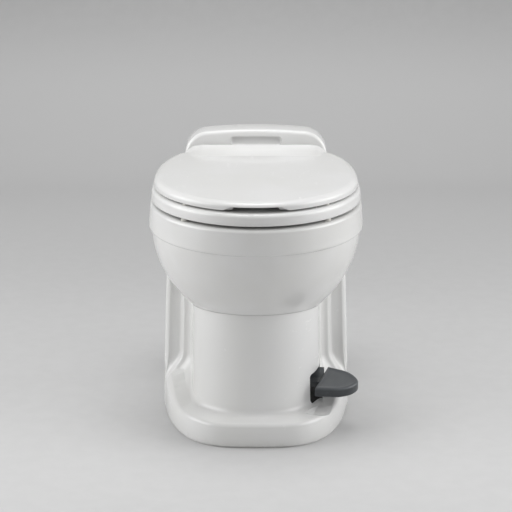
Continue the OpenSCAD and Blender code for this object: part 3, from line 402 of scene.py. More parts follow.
class Finish(Enum):
    """Every finish on the toilet, by the part that wears it."""

    CHINA = Glaze()
    SHELL = Gloss("shell_plastic", dust_top=0.02)
    SEAT = Gloss("seat_plastic", body=(0.82, 0.82, 0.817), rough=0.13, flow_mm=0.06)
    TRIM = Gloss("hinge_plastic", rough=0.2, flow_mm=0.03)
    SOFT = Rubber("white_bumper_rubber", (0.62, 0.61, 0.57), (0.7, 0.7, 0.67))
    # Pedal: its top is painted lighter, as painted light from above, and its part inside the slot
    # near-black, as painted shade.
    PEDAL = Moulding(
        "pedal_plastic", (0.036, 0.041, 0.046), (0.102, 0.11, 0.118), 0.4, 1100.0, 0.02,
        top_light_from_m=0.099, coat=0.35,
    )
    RESIN = Moulding("valve_resin", (0.56, 0.55, 0.5), (0.66, 0.65, 0.6), 0.44)
    BUSH = Moulding("bearing_resin", (0.62, 0.56, 0.42), (0.5, 0.44, 0.32), 0.36, 1400.0, 0.015)
    FLOAT = Moulding("float_resin", (0.52, 0.37, 0.12), (0.6, 0.46, 0.2), 0.4)
    STEEL = Steel("bright_steel")
    LEVER = Steel("stamped_steel", (0.4, 0.405, 0.41), 0.36, (220.0, 60.0, 220.0), 0.45)
    BALL = Steel("satin_steel", (0.5, 0.5, 0.505), 0.2, (240.0, 24.0, 240.0), 0.12)
    RUBBER = Rubber("black_rubber")
    # Inner face: grey, darker than the white shell, as painted shade inside the closed shell, and
    # darker still toward the front.
    INNER = Moulding(
        "shell_inner_face", (0.26, 0.26, 0.255), (0.3, 0.3, 0.295), 0.6, dim_ahead=True
    )
    SLOT = Moulding("slot_shadow", (0.012, 0.012, 0.013), (0.03, 0.03, 0.03), 0.7)

    def material(self) -> bpy.types.Material:
        """The finish's material, built the first time it is asked for."""
        return bpy.data.materials.get(self.value.name) or self.value.build()


# Mesh toolkit


def linked(
    name: str, vertices: np.ndarray, faces: list[list[int]], material: bpy.types.Material
) -> Solid:
    """Makes an object from vertices in metres and links it to the scene."""
    mesh = bpy.data.meshes.new(name)
    mesh.from_pydata(vertices.tolist(), [], faces)
    mesh.materials.append(material)
    obj = bpy.data.objects.new(name, mesh)
    bpy.context.collection.objects.link(obj)
    return obj


def put(name: str, vertices: np.ndarray, faces: list[list[int]], finish: Finish) -> Solid:
    """Makes an object from vertices in millimetres.

    Args:
        name: object and mesh name.
        vertices: points, one row each, in millimetres.
        faces: vertex numbers of each face.
        finish: what the mesh wears.

    Returns:
        The object, smooth-shaded with its sharp edges marked.
    """
    obj = linked(name, vertices * MM, faces, finish.material())
    obj.data.validate()
    shade(obj)
    return obj


def shade(obj: Solid) -> None:
    """Smooth shading, broken where two faces meet at more than the limit."""
    obj.data.shade_smooth()
    obj.data.set_sharp_from_angle(angle=SMOOTH_LIMIT)


def loft(rings: list[Ring], closed: bool = False) -> tuple[np.ndarray, list[list[int]]]:
    """Skins a list of rings that have the same number of points.

    Args:
        rings: arrays of n points each.
        closed: joins the last ring to the first; otherwise both ends are capped.

    Returns:
        Vertices and faces.
    """
    n, m = len(rings[0]), len(rings)
    faces: list[list[int]] = []
    for k in range(m if closed else m - 1):
        low, high = k * n, ((k + 1) % m) * n
        for i in range(n):
            j = (i + 1) % n
            faces.append([low + i, low + j, high + j, high + i])
    if not closed:
        faces.append(list(range(n - 1, -1, -1)))
        faces.append(list(range((m - 1) * n, m * n)))
    return np.vstack(rings), faces


def dressed(obj: Solid) -> Solid:
    """Bakes an object's modifiers into a plain mesh and shades it again."""
    view = bpy.context.evaluated_depsgraph_get()
    mesh = bpy.data.meshes.new_from_object(obj.evaluated_get(view), depsgraph=view)
    obj.modifiers.clear()
    old, obj.data = obj.data, mesh
    mesh.name = obj.name
    bpy.data.meshes.remove(old)
    shade(obj)
    return obj


def combine(obj: Solid, operation: str, *tools: Solid, two_tone: bool = False) -> Solid:
    """Applies one boolean with each tool in turn and deletes the tools.

    Args:
        obj: the piece that is kept.
        operation: UNION, DIFFERENCE or INTERSECT.
        tools: the other solids.
        two_tone: whether the faces that a tool leaves keep the tool's finish.

    Returns:
        obj.
    """
    for tool in tools:
        step = obj.modifiers.new("cut", "BOOLEAN")
        step.operation = operation
        step.solver = "EXACT"
        step.object = tool
        step.material_mode = "TRANSFER" if two_tone else "INDEX"
        dressed(obj)
        mesh = tool.data
        bpy.data.objects.remove(tool)
        bpy.data.meshes.remove(mesh)
    return obj


def egg(a: float, f: float, b: float, yc: float, z: float, n: int, back: float = 2.5) -> Ring:
    """Plan ring: half ellipse in front, squarer behind.

    Args:
        a: half width.
        f: reach in front of the centre.
        b: reach behind the centre.
        yc: the centre's y.
        z: height.
        n: number of points.
        back: exponent of the rear half.

    Returns:
        The ring, in millimetres.
    """
    t = np.arange(n) * 2 * math.pi / n
    s, c = np.sin(t), np.cos(t)
    power = np.where(s < 0, 2.0, back)
    reach = np.where(s < 0, f, b)
    r = ((np.abs(c) / a) ** power + (np.abs(s) / reach) ** power) ** (-1 / power)
    return np.column_stack([r * c, yc + r * s, np.full(n, z)])


def circle(r: float, z: float, n: int) -> Ring:
    """Round plan ring about the outlet's axis."""
    return egg(r, r, r, 0, z, n, 2)


def corner(start: Pair, end: Pair, n: int, upright: bool) -> list[Pair]:
    """Quarter turn between two points of a section, without its first point.

    Args:
        start: first point.
        end: last point.
        n: number of steps.
        upright: leaves the start along the second axis instead of the first.

    Returns:
        The points.
    """
    out = []
    for k in range(1, n + 1):
        t = math.pi / 2 * k / n
        u, v = (1 - math.cos(t), math.sin(t)) if upright else (math.sin(t), 1 - math.cos(t))
        out.append((start[0] + (end[0] - start[0]) * u, start[1] + (end[1] - start[1]) * v))
    return out


def arc(cx: float, cy: float, r: float, a0: float, a1: float, n: int) -> list[Pair]:
    """Points on an arc, angles in degrees, both ends included."""
    turns = [math.radians(a0 + (a1 - a0) * k / n) for k in range(n + 1)]
    return [(cx + r * math.cos(t), cy + r * math.sin(t)) for t in turns]


def ease(t: float) -> float:
    """Smooth step from 0 to 1."""
    u = min(max(t, 0.0), 1.0)
    return u * u * (3 - 2 * u)


def spline(points: list[Triple], steps: int) -> np.ndarray:
    """Catmull-Rom curve through points, as rows of coordinates."""
    p = np.array(points, float)
    out = []
    for i in range(len(p) - 1):
        a, b, c, d = p[max(i - 1, 0)], p[i], p[i + 1], p[min(i + 2, len(p) - 1)]
        for t in np.arange(steps) / steps:
            bend = 2 * b + (c - a) * t + (2 * a - 5 * b + 4 * c - d) * t**2
            out.append(0.5 * (bend + (3 * b - a - 3 * c + d) * t**3))
    out.append(p[-1])
    return np.array(out)


def hoops(path: np.ndarray, radius: float, n: int, side: Triple) -> list[Ring]:
    """Rings of a tube along a path, framed by a fixed side vector."""
    rings = []
    ahead = np.gradient(path, axis=0)
    for point, way in zip(path, ahead):
        way = way / np.linalg.norm(way)
        u = np.cross(way, side)
        u /= np.linalg.norm(u)
        v = np.cross(way, u)
        t = np.arange(n) * 2 * math.pi / n
        rings.append(point + radius * (np.outer(np.cos(t), u) + np.outer(np.sin(t), v)))
    return rings


def prism(
    name: str, axis: int, outline: list[Pair], span: Pair, finish: Finish = Finish.SHELL
) -> Solid:
    """An outline drawn out along an axis.

    Args:
        name: object name.
        axis: 0, 1 or 2 for X, Y or Z.
        outline: points in the other two coordinates, in axis order.
        span: start and end along the axis.
        finish: what the solid wears.

    Returns:
        The solid.
    """
    rings = [np.insert(np.array(outline, float), axis, station, axis=1) for station in span]
    return put(name, *loft(rings), finish)


def box_solid(name: str, low: Triple, high: Triple) -> Solid:
    """A plain block used as a cutting tool, between two opposite corners."""
    (x0, x1), (y0, y1), span = zip(low, high)
    return prism(name, 2, [(x0, y0), (x1, y0), (x1, y1), (x0, y1)], span)


def rod(name: str, axis: int, span: Pair, r: float, at: Pair, n: int = 64) -> Solid:
    """A round cutting tool of n sides along an axis, about a spot in the other two coordinates."""
    t = np.arange(n) * 2 * math.pi / n * (-1 if axis == 1 else 1)
    return prism(name, axis, np.column_stack([at[0] + r * np.cos(t), at[1] + r * np.sin(t)]), span)


# Repeats, made by Geometry Nodes


class Repeater:
    """Geometry Nodes tree that sets copies of a mesh round the Z axis."""

    INPUTS = (
        ("Count", "NodeSocketInt"),
        ("Turn", "NodeSocketFloat"),
        ("Material", "NodeSocketMaterial"),
    )

    def __init__(self) -> None:
        """Builds the tree once, for every ring of repeats."""
        self.tree = bpy.data.node_groups.new("ring_of_copies", "GeometryNodeTree")
        face = self.tree.interface
        face.new_socket("Geometry", in_out="INPUT", socket_type="NodeSocketGeometry")
        for name, kind in self.INPUTS:
            face.new_socket(name, in_out="INPUT", socket_type=kind)
        face.new_socket("Geometry", in_out="OUTPUT", socket_type="NodeSocketGeometry")
        given = self._node("NodeGroupInput")
        points = self._node("GeometryNodePoints")
        index = self._node("GeometryNodeInputIndex")
        turn = self._node("ShaderNodeMath", operation="MULTIPLY")
        angle = self._node("ShaderNodeCombineXYZ")
        copies = self._node("GeometryNodeInstanceOnPoints")
        real = self._node("GeometryNodeRealizeInstances")
        paint = self._node("GeometryNodeSetMaterial")
        result = self._node("NodeGroupOutput")
        for source, target in (
            (given.outputs["Count"], points.inputs["Count"]),
            (index.outputs[0], turn.inputs[0]),
            (given.outputs["Turn"], turn.inputs[1]),
            (turn.outputs[0], angle.inputs["Z"]),
            (points.outputs[0], copies.inputs["Points"]),
            (given.outputs["Geometry"], copies.inputs["Instance"]),
            (angle.outputs[0], copies.inputs["Rotation"]),
            (copies.outputs[0], real.inputs[0]),
            (real.outputs[0], paint.inputs["Geometry"]),
            (given.outputs["Material"], paint.inputs["Material"]),
            (paint.outputs[0], result.inputs[0]),
        ):
            self.tree.links.new(source, target)

    def _node(self, kind: str, **settings: object) -> bpy.types.Node:
        """Adds a node and sets its properties."""
        node = self.tree.nodes.new(kind)
        for key, value in settings.items():
            setattr(node, key, value)
        return node

    def run(self, obj: Solid, count: int, turn: float, finish: Finish) -> Solid:
        """Repeats a mesh that is drawn round the Z axis.

        Args:
            obj: the piece to repeat.
            count: number of copies.
            turn: degrees from each copy to the next.
            finish: what the copies wear.

        Returns:
            obj, now a plain mesh of all the copies.
        """
        step = obj.modifiers.new("repeat", "NODES")
        step.node_group = self.tree
        keys = {s.name: s.identifier for s in self.tree.interface.items_tree if s.in_out == "INPUT"}
        step[keys["Count"]] = count
        step[keys["Turn"]] = math.radians(turn)
        step[keys["Material"]] = finish.material()
        return dressed(obj)


def moved(obj: Solid, spot: Triple) -> Solid:
    """Moves a mesh by millimetres and keeps the object at the origin."""
    count = len(obj.data.vertices)
    co = np.empty(count * 3)
    obj.data.vertices.foreach_get("co", co)
    obj.data.vertices.foreach_set("co", co + np.tile(np.array(spot) * MM, count))
    obj.data.update()
    return obj


# The toilet's sizes, in millimetres

NECK_R = 48.0
RIM_BACK = 262.0  # reach of rim and seat behind the rim's centre, before they are cut straight
LID_BACK = 260.0
POCKET_DROP = 13.0  # from the top of the raised back to the top of its pocket
POCKET_CORNER = 7.0
POCKET_SHARE = 0.6  # the pocket's depth as a share of the room behind it
PIN_HOLE_R = 4.05
PIN_REACH = 120.0


@dataclass(frozen=True)
class Plan:
    """Driving sizes that several pieces share."""

    rim_half: float = 190.5
    rim_front: float = 212.5
    rim_y: float = -35.0
    rim_z: float = 413.0
    seam_z: float = 366.0
    body_half: float = 185.0
    body_depth: float = 198.0
    fullness: float = 1.85
    neck_z: float = 182.0
    china: float = 9.0
    mouth_half: float = 146.0
    channel: float = 20.0
    deck_half: float = 140.0
    deck_back: float = 250.0
    hinge_y: float = 176.0
    hinge_z: float = 453.0
    points: int = 240

    def heights(self, count: int, crowding: float) -> list[float]:
        """Heights from the neck to the seam, closer together low down."""
        rise = self.seam_z - self.neck_z
        return [self.neck_z + rise * (k / count) ** crowding for k in range(count + 1)]

    def body_ring(self, z: float, grow: float = 0.0, lift: float = 0.0) -> Ring:
        """Outline of the bowl's body at a height, grown outward and lifted."""
        d = (self.seam_z - z) / (self.seam_z - self.neck_z)
        bulge = ((self.seam_z - z) / self.body_depth) ** self.fullness
        w = max(self.body_half * (1 - bulge) ** (1 / self.fullness), NECK_R) + grow
        ahead = w * (1 + (self.rim_front / self.rim_half - 1) * (1 - d))
        behind = w * (1.08 - 0.08 * d)
        ring = egg(w, ahead, behind, self.rim_y * (1 - d), z, self.points, 2.2)
        ring[:, 2] += lift
        return ring

    def inside_ring(self, z: float) -> Ring:
        """Inner face of the china that answers to the body's outside at a height."""
        d = (self.seam_z - z) / (self.seam_z - self.neck_z)
        return self.body_ring(z, -self.china * (1 - 0.35 * d), self.china * 0.8 * d)

    def rim_ring(self, inset: float, z: float) -> Ring:
        """Outline of the rim, inset from the band's foot."""
        w, f, b = self.rim_half - inset, self.rim_front, RIM_BACK - inset
        return egg(w, f - inset * (f / self.rim_half), b, self.rim_y, z, self.points)

    def mouth_ring(self, grow: float, z: float) -> Ring:
        """Outline inside the rim, grown outward from the mouth."""
        m = self.mouth_half + grow
        ahead = self.rim_front - self.rim_half + m
        return egg(m, ahead, m + 4, self.rim_y, z, self.points, 2.2)


PLAN = Plan()


@dataclass
class Bowl:
    """China bowl: body, rim band, flush channel, deck and raised back with a finger pocket."""

    plan: Plan = PLAN
    hump_top: float = 491.0
    hump_front: float = 195.0
    hump_corner: float = 46.0
    pocket: Triple = (98.0, 16.0, 16.0)  # width, height and depth
    foot_z: float = 156.5
    flange: Pair = (70.0, 7.0)  # radius and thickness
    throat_r: float = 38.5
    hinge_hole_x: float = 105.0
    bolt_r: float = 5.4
    water_r: float = 8.3

    def body(self) -> Solid:
        """Body and rim as one closed skin, with the flush channel and the inside."""
        p = self.plan
        n = p.points
        r, t = self.flange
        levels = p.heights(44, 1.5)
        rings = [circle(r, z, n) for z in (self.foot_z, self.foot_z + t)]
        rings += [circle(NECK_R, z, n) for z in (self.foot_z + t + 0.1, 172)]
        rings += [p.body_ring(z) for z in levels]
        band, top = p.seam_z, p.rim_z
        # Rim band from its foot to the top, as inset and height
        section = [(5.2, band + 0.3), *corner((5.2, band + 0.3), (0, band + 6.4), 8, False)]
        section += [(0.5, band + 14), (1.2, band + 24), (1.8, band + 34)]
        section += [(2.3, top - 6.5), *corner((2.3, top - 6.5), (9.5, top), 10, True)]
        rings += [p.rim_ring(i, z) for i, z in [*section, (16, top), (24, top)]]
        # Mouth, lip and flush channel, as growth from the mouth and height
        lip = [(8, top), *corner((5, top), (0, top - 5), 7, False)]
        lip += [(0, top - 12), (0, top - 18), (0, top - 23)]
        lip += corner((0, top - 24), (4.5, top - 28.5), 6, True)
        c = p.china
        lip += [(c, top - 25), (c, top - 17), (c, top - c)]
        lip += [(c + p.channel, top - z) for z in (c, 22, 40)]
        rings += [p.mouth_ring(g, z) for g, z in lip]
        rings += [p.inside_ring(z) for z in reversed(levels)]
        rings += [circle(self.throat_r, z, n) for z in (182, 170, self.foot_z)]
        return put("china_bowl", *loft(rings, True), Finish.CHINA)

    def hump_ring(self, inset: float, y: float) -> Ring:
        """Front-view outline of the raised back at one station."""
        p, c, top = self.plan, self.hump_corner, self.hump_top
        cx, cz = p.deck_half - 6 - c, top - 4 - c
        side = p.deck_half - inset
        half = [(side, p.rim_z - 40), (side, p.rim_z - 6)]
        half += [(side - 6 * ease(k / 10), p.rim_z + 2 + 24 * k / 10) for k in range(10)]
        half += arc(cx, cz, c - inset, 0, 86, 24)
        crown = [1 - k / 12 for k in range(1, 12)]
        half += [(cx * k, top - inset - 4 * k**2) for k in crown]
        left = [(-x, y, z) for x, z in half]
        right = [(x, y, z) for x, z in reversed(half)]
        return np.array([*left, (0, y, top - inset), *right], float)

    def raised_back(self) -> Solid:
        """The raised back of the deck, with rolled front and back edges."""
        front, back = self.hump_front, self.plan.deck_back
        section = [(7, front), *corner((7, front), (0, front + 7), 8, False), (0, front + 20)]
        section += [(0, back - 5), *corner((0, back - 5), (4.5, back), 6, True)]
        return put("raised_back", *loft([self.hump_ring(i, y) for i, y in section]), Finish.CHINA)

    def deck(self) -> Solid:
        """Flat deck that joins the bowl to its raised back."""
        p = self.plan
        x, y0, y1, top = p.deck_half - 0.8, 90.0, p.deck_back - 4.5, p.rim_z - 0.35
        rings = []
        edge = [(0.0, p.seam_z + 1.6), (0.0, top - 5), *corner((0.0, top - 5), (5.0, top), 7, True)]
        for inset, z in edge:
            w = x - inset
            rings.append(np.array([(-w, y0, z), (w, y0, z), (w, y1, z), (-w, y1, z)]))
        deck = put("deck", *loft(rings), Finish.CHINA)
        hole = [p.mouth_ring(p.china + p.channel - 1, z) for z in (p.rim_z - 60, p.rim_z + 2)]
        return combine(deck, "DIFFERENCE", put("hole", *loft(hole), Finish.CHINA))

    def pocket_tool(self) -> Solid:
        """Finger pocket: a rounded slot whose back wall curves down and forward."""
        wide, high, deep = self.pocket
        y, z0 = self.hump_front, self.hump_top - POCKET_DROP - high
        t = np.linspace(0, math.pi, 24)
        rings = []
        for a in (math.pi / 2 * k / 24 for k in range(25)):
            lift = high * (1 - math.cos(a))
            near = max(0.0, 1 - min(lift, high - lift) / POCKET_CORNER)
            side = wide / 2 - POCKET_CORNER * (1 - math.sqrt(1 - near * near))
            depth = max(POCKET_SHARE * deep * math.sin(a), 0.4)
            x = side * np.sign(np.cos(t)) * np.abs(np.cos(t)) ** 0.28
            back = y + depth * np.abs(np.sin(t)) ** 0.5
            z = z0 + lift
            ring = [(side, y - 8, z), *[(u, v, z) for u, v in zip(x, back)], (-side, y - 8, z)]
            rings.append(np.array(ring, float))
        return put("pocket", *loft(rings), Finish.CHINA)

    def hollow_tools(self) -> list[Solid]:
        """Blocks that open the deck from below and behind, for the water fittings."""
        p, c = self.plan, self.plan.china
        low, top = p.seam_z - 20, p.rim_z - c - 1
        inside = [self.hump_ring(c, y) for y in (self.hump_front + c, p.deck_back + 2)]
        tools = [put("hollow", *loft(inside), Finish.CHINA)]
        wide = p.deck_half - c - 2
        tools.append(box_solid("under", (-wide, 168, low), (wide, p.deck_back + 20, top)))
        y0, y1 = p.hinge_y - 19, p.hinge_y - 5
        for x in (-self.hinge_hole_x, self.hinge_hole_x):
            tools.append(box_solid("nut_room", (x - 20, y0, low), (x + 20, y1, top)))
        return tools

    def pocket_back(self) -> Solid:
        """Wall of china behind the finger pocket."""
        wide, high, deep = self.pocket
        x, y, top = wide / 2 + 5, self.hump_front + 5, self.hump_top - POCKET_DROP
        return box_solid("pocket_back", (-x, y, top - high - 5), (x, y + deep, top + 3))

    def dress(self) -> Solid:
        """Builds the bowl and hands it to the frame."""
        p = self.plan
        deck = combine(self.deck(), "UNION", self.raised_back())
        bowl = combine(self.body(), "UNION", deck)
        combine(bowl, "DIFFERENCE", *self.hollow_tools())
        combine(bowl, "UNION", self.pocket_back())
        x, span = self.hinge_hole_x, (p.rim_z - 20, p.rim_z + 1)
        holes = [rod("bolt_hole", 2, span, self.bolt_r, (s * x, p.hinge_y)) for s in (-1, 1)]
        holes.append(rod("water_hole", 1, (128, 190), self.water_r, (0, p.rim_z - 22)))
        combine(bowl, "DIFFERENCE", self.pocket_tool(), *holes)
        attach(bowl, "pedestal")
        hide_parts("bowl")
        return bowl


@dataclass
class Pedestal:
    """Moulded pedestal: round column, side wings, climbing ledge, foot, slot and open back."""

    plan: Plan = PLAN
    foot_half: float = 174.0
    foot_front: float = 290.0
    foot_y: float = 100.0
    foot_square: float = 3.4
    back_y: float = 240.0
    toe: float = 45.0
    shoulder: float = 86.0
    roll: float = 64.0
    roll_shift: float = 0.12
    ledge_w: float = 34.0
    column_r: float = 118.0
    column_y: float = -28.0
    wing_half: float = 171.0
    wing_front: float = 34.0
    wall: float = 4.0
    top_z: float = 366.0
    draft: float = 0.00022
    foot_draft: float = 0.00024
    slot: tuple[float, float, float, float] = (-93.0, -4.0, 46.0, 103.0)  # y and z spans
    slot_x: Pair = (-30.0, 3.0)  # from the column's side
    slot_rise: float = 7.0  # of the back top corner
    slot_corner: float = 6.0
    climb: Pair = (-75.0, 50.0)  # y over which the ledge climbs
    floor: Pair = (24.0, 6.0)  # height and thickness
    relief_z: float = 38.0
    relief_front: float = -119.0
    relief_slope: float = 0.27
    dish: tuple[Pair, ...] = (  # growth and rise of the relief's wall
        (1, 0.0), (4, 0.4), (8, 1.2), (13, 2.4), (19, 3.9), (25, 5.4), (31, 6.7), (37, 7.6),
        (38, 60.0),
    )
    pans: tuple[tuple[Pair, Triple], ...] = (  # boxes that the relief's pans fill
        ((100, -168), (176, -60, 45)),
        ((64, -170), (101, -108, 44.8)),
    )
    window: Triple = (149.0, 48.0, 354.0)  # half width, sill and top
    deck_room: Pair = (128.0, 150.0)  # half width and front
    outlet_hole_r: float = 38.0
    closet: Pair = (76.2, 4.5)  # half spacing and hole radius
    valve_screws: tuple[Pair, ...] = ((86.0, 87.0), (86.0, 133.0))
    screw_half: float = 53.0
    screw_r: float = 2.6
    gap: float = 0.6
    grain: float = 5.0  # longest step of the plan outline

    def plan_outline(self, behind: float = 0.0) -> list[Pair]:
        """Outline above the ledge, from the front centre round the right side, back and left side.

        Args:
            behind: how far the wing panel and the side's front are moved back, for the inside.

        Returns:
            Plan points: column, flank, recessed wing panel with its ridge and lip, side and back.
        """
        r, w, f, back = self.column_r, self.wing_half, self.wing_front, self.back_y
        # Column, then the flank that turns out to the wing
        half = arc(0, self.column_y, r, -90, 0, 44)
        half += [(r + 1, f - 26), *arc(r + 15, f - 18, 14, 180, 90, 12)]
        # Recessed wing panel with its ridge and lip
        panel = [(r + 15, f - 4, 0), (r + 18.5, f - 2.6, 0), (r + 22, f + 3, 0)]
        panel += [(w - 27, f + 6.4, 0), (w - 16, f + 7, 0), (w - 8.3, f + 5.2, 0)]
        panel = [(x, y) for x, y, _ in spline(panel, 6)[3:-1]]
        half += [(x, y + behind) for x, y in [*panel, *arc(w - 10, f + 15, 10, -80, 0, 10)]]
        # Side and back
        half += [(w, back - 12), *arc(w - 10, back - 10, 10, 10, 90, 8), (0.0, back)]
        fine = [half[0]]
        for (ax, ay), (bx, by) in zip(half, half[1:]):
            steps = max(1, round(math.dist((ax, ay), (bx, by)) / self.grain))
            for k in range(1, steps + 1):
                fine.append((ax + (bx - ax) * k / steps, ay + (by - ay) * k / steps))
        return fine + [(-x, y) for x, y in reversed(fine[1:-1])]

    def foot_point(self, x: float, y: float) -> Pair:
        """Point of the foot outline on the ray that meets a point of the upper outline."""
        dy = y - self.foot_y
        if dy >= 0:
            return x * self.foot_half / self.wing_half, y
        power = self.foot_square
        side, nose = (abs(x) / self.foot_half) ** power, (dy / self.foot_front) ** 2
        k = 1.0
        for _ in range(8):
            miss = side * k**power + nose * k * k - 1
            k -= miss / (power * side * k ** (power - 1) + 2 * nose * k)
        return x * k, self.foot_y + dy * k

    def ledge(self, y: float, across: float, lift: float) -> float:
        """Height on the ledge: a corner and a cove at the toe, one long roll at the shoulder.

        Args:
            y: where the ledge is; it climbs toward the wings.
            across: how far in from the foot, up to the ledge's width.
            lift: height over the ledge at the toe.

        Returns:
            The height.
        """
        start, end = self.climb
        climb = ease((y - start) / (end - start))
        swing = math.asin(2 * across / self.ledge_w - 1) / math.pi - self.roll_shift
        toe = self.toe + (self.shoulder - self.toe) * climb
        return toe + (1 - climb) * lift + climb * self.roll * swing

    def point(self, p: Pair, share: float, inset: float, z: float, skin: float) -> Triple:
        """One point of a level, between the upper outline and the foot.

        Args:
            p: point of the upper outline.
            share: 1 on the foot outline, 0 on the upper outline.
            inset: rounding, drawn in from the foot or out from the column.
            z: height.
            skin: thickness, for the inside.

        Returns:
            The point, in millimetres.
        """
        k = 1 - self.draft * max(z - self.shoulder, 0)
        u = np.array([p[0] * k, p[1] * k if p[1] < 0 else p[1]])
        ex, ey = self.foot_point(*p)
        f = np.array([ex * (1 - self.foot_draft * min(z, self.shoulder)), ey])
        c = np.array([0.0, self.foot_y])
        far, near = math.dist(f, c), math.dist(u, c)
        grip = min(1.0, max(far - near, 0) / self.ledge_w)
        r = far * share + near * (1 - share) - (inset * grip if share > 0.5 else -inset * grip)
        q = c + (f - c) / far * (r - skin)
        return q[0], min(q[1], self.back_y - skin), z

    def levels(self, bottom: float, top: float) -> list[tuple[float, float, bool, float]]:
        """Share, inset, whether the height is on the ledge, and the height of each level."""
        foot = [(5.0, bottom), (4.8, bottom + 2.6), (1.6, bottom + 3.4), (1.2, bottom + 5)]
        edge = [(0.8, -17.0), (1.6, -12.0), *corner((2.2, -9.0), (11.0, -0.8), 12, True)]
        cove = [(self.ledge_w / 2, 0.35), (14.0, 0.4), *corner((11.0, 0.6), (0.0, 12.0), 12, False)]
        out = [(1.0, inset, False, z) for inset, z in foot]
        out += [(1.0, inset, True, z) for inset, z in edge]
        out += [(0.0, inset, True, z) for inset, z in cove]
        return out + [(0.0, 0.0, False, z) for z in (130, 170, 230, 290, top)]

    def skin(self, t: float, bottom: float, top: float, name: str) -> Solid:
        """Outer or inner skin of the shell, closed at both ends."""
        outline = self.plan_outline(5.0 if t > 0 else 0.0)
        rings = []
        for share, inset, on_ledge, z in self.levels(bottom, top):
            across = inset if share > 0.5 else self.ledge_w - inset
            heights = [self.ledge(y, across, z) - t if on_ledge else z for _, y in outline]
            level = [self.point(p, share, inset, h, t) for p, h in zip(outline, heights)]
            rings.append(np.array(level))
        return put(name, *loft(rings), Finish.INNER if t == self.wall else Finish.SHELL)

    def floor_plate(self) -> Solid:
        """Inner floor that the valve and the pivot bracket stand on."""
        z, t = self.floor
        outline = [self.point(p, 1, 1, z, self.wall / 2)[:2] for p in self.plan_outline()]
        return prism("floor_plate", 2, outline, (z, z + t), Finish.INNER)

    def slot_tool(self) -> Solid:
        """Cut for the pedal's slot, with round corners."""
        y0, y1, z0, z1 = self.slot
        r = self.slot_corner
        high = z1 - r + self.slot_rise
        turns = ((y1 - r, high), (y0 + r, z1 - r), (y0 + r, z0 + r), (y1 - r, z0 + r))
        ring = []
        for k, (cy, cz) in enumerate(turns):
            ring += arc(cy, cz, r, 90 * k, 90 * k + 90, 8)
        return prism("slot", 0, ring, [self.column_r + x for x in self.slot_x])

    def relief_tool(self, pad: list[Pair]) -> Solid:
        """Room under the pad, a dish with rounded walls that stops at the column."""
        outline = np.array(pad)
        away = outline - np.mean(pad, axis=0)
        away /= np.linalg.norm(away, axis=1)[:, None]
        flare = 0.15 + 0.85 * np.clip(-1.3 * away[:, 1:], 0, 1)
        slope = self.relief_slope * np.maximum(0, outline[:, 1] - self.relief_front)
        rings = []
        for grow, z in self.dish:
            level = outline + away * grow * flare
            rings.append(np.column_stack([level, self.relief_z + z + slope]))
        relief = put("relief", *loft(rings), Finish.SHELL)
        return combine(relief, "DIFFERENCE", self.column((20, 110), self.gap))

    def column(self, span: Pair, grow: float) -> Solid:
        """Solid of the column between two heights, grown outward."""
        return rod("column", 2, span, self.column_r + grow, (0, self.column_y), 128)

    def pan(self, low: Triple, high: Triple) -> Solid:
        """Piece of an inner skin that closes the wall under the relief, within a box."""
        pan = self.skin(self.wall / 2, 1, self.top_z - self.wall, "relief_pan")
        combine(pan, "INTERSECT", box_solid("pan_box", low, high))
        return combine(pan, "DIFFERENCE", self.column((20, 60), -self.wall / 2))

    def seat_tool(self) -> Solid:
        """Cut that the china bowl settles into, a hair larger than the bowl."""
        p = self.plan
        rings = [p.body_ring(z, self.gap) for z in p.heights(40, 1.4)]
        rings.append(rings[-1] + (0, 0, 2))
        return put("bowl_room", *loft(rings), Finish.SHELL)

    def dress(self, pad: list[Pair]) -> Solid:
        """Builds the shell and hands it to the frame.

        Args:
            pad: plan outline of the pedal pad, which the ledge is relieved under.

        Returns:
            The finished shell.
        """
        top, wall, back = self.top_z, self.wall, self.back_y
        shell = self.skin(0, 0, top, "pedestal_shell")
        combine(shell, "DIFFERENCE", self.skin(wall, -1, top - wall, "inside"), two_tone=True)
        low = self.floor[0] + 1
        pans = [self.pan((*near, low), far) for near, far in self.pans]
        combine(shell, "UNION", self.floor_plate(), *pans, two_tone=True)
        w, sill, head = self.window
        window = box_solid("window", (-w, back - 16, sill), (w, back + 8, head))
        w, front = self.deck_room
        deck_room = box_solid("deck_room", (-w, front, top - 8), (w, back - 12, top + 4))
        tools = [self.seat_tool(), window, self.relief_tool(pad), self.slot_tool(), deck_room]
        combine(shell, "DIFFERENCE", *tools)
        span = (self.floor[0] - 1, sum(self.floor) + 1)
        (x, r), a = self.closet, (-self.screw_half, self.screw_half)
        holes = [(0.0, 0.0, self.outlet_hole_r), (-x, 0.0, r), (x, 0.0, r)]
        screws = [*self.valve_screws, *((x, y) for x in a for y in a)]
        holes += [(x, y, self.screw_r) for x, y in screws]
        combine(shell, "DIFFERENCE", *[rod("hole", 2, span, r, (x, y), 48) for x, y, r in holes])
        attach(shell, "pedestal")
        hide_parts("base_shell")
        return shell


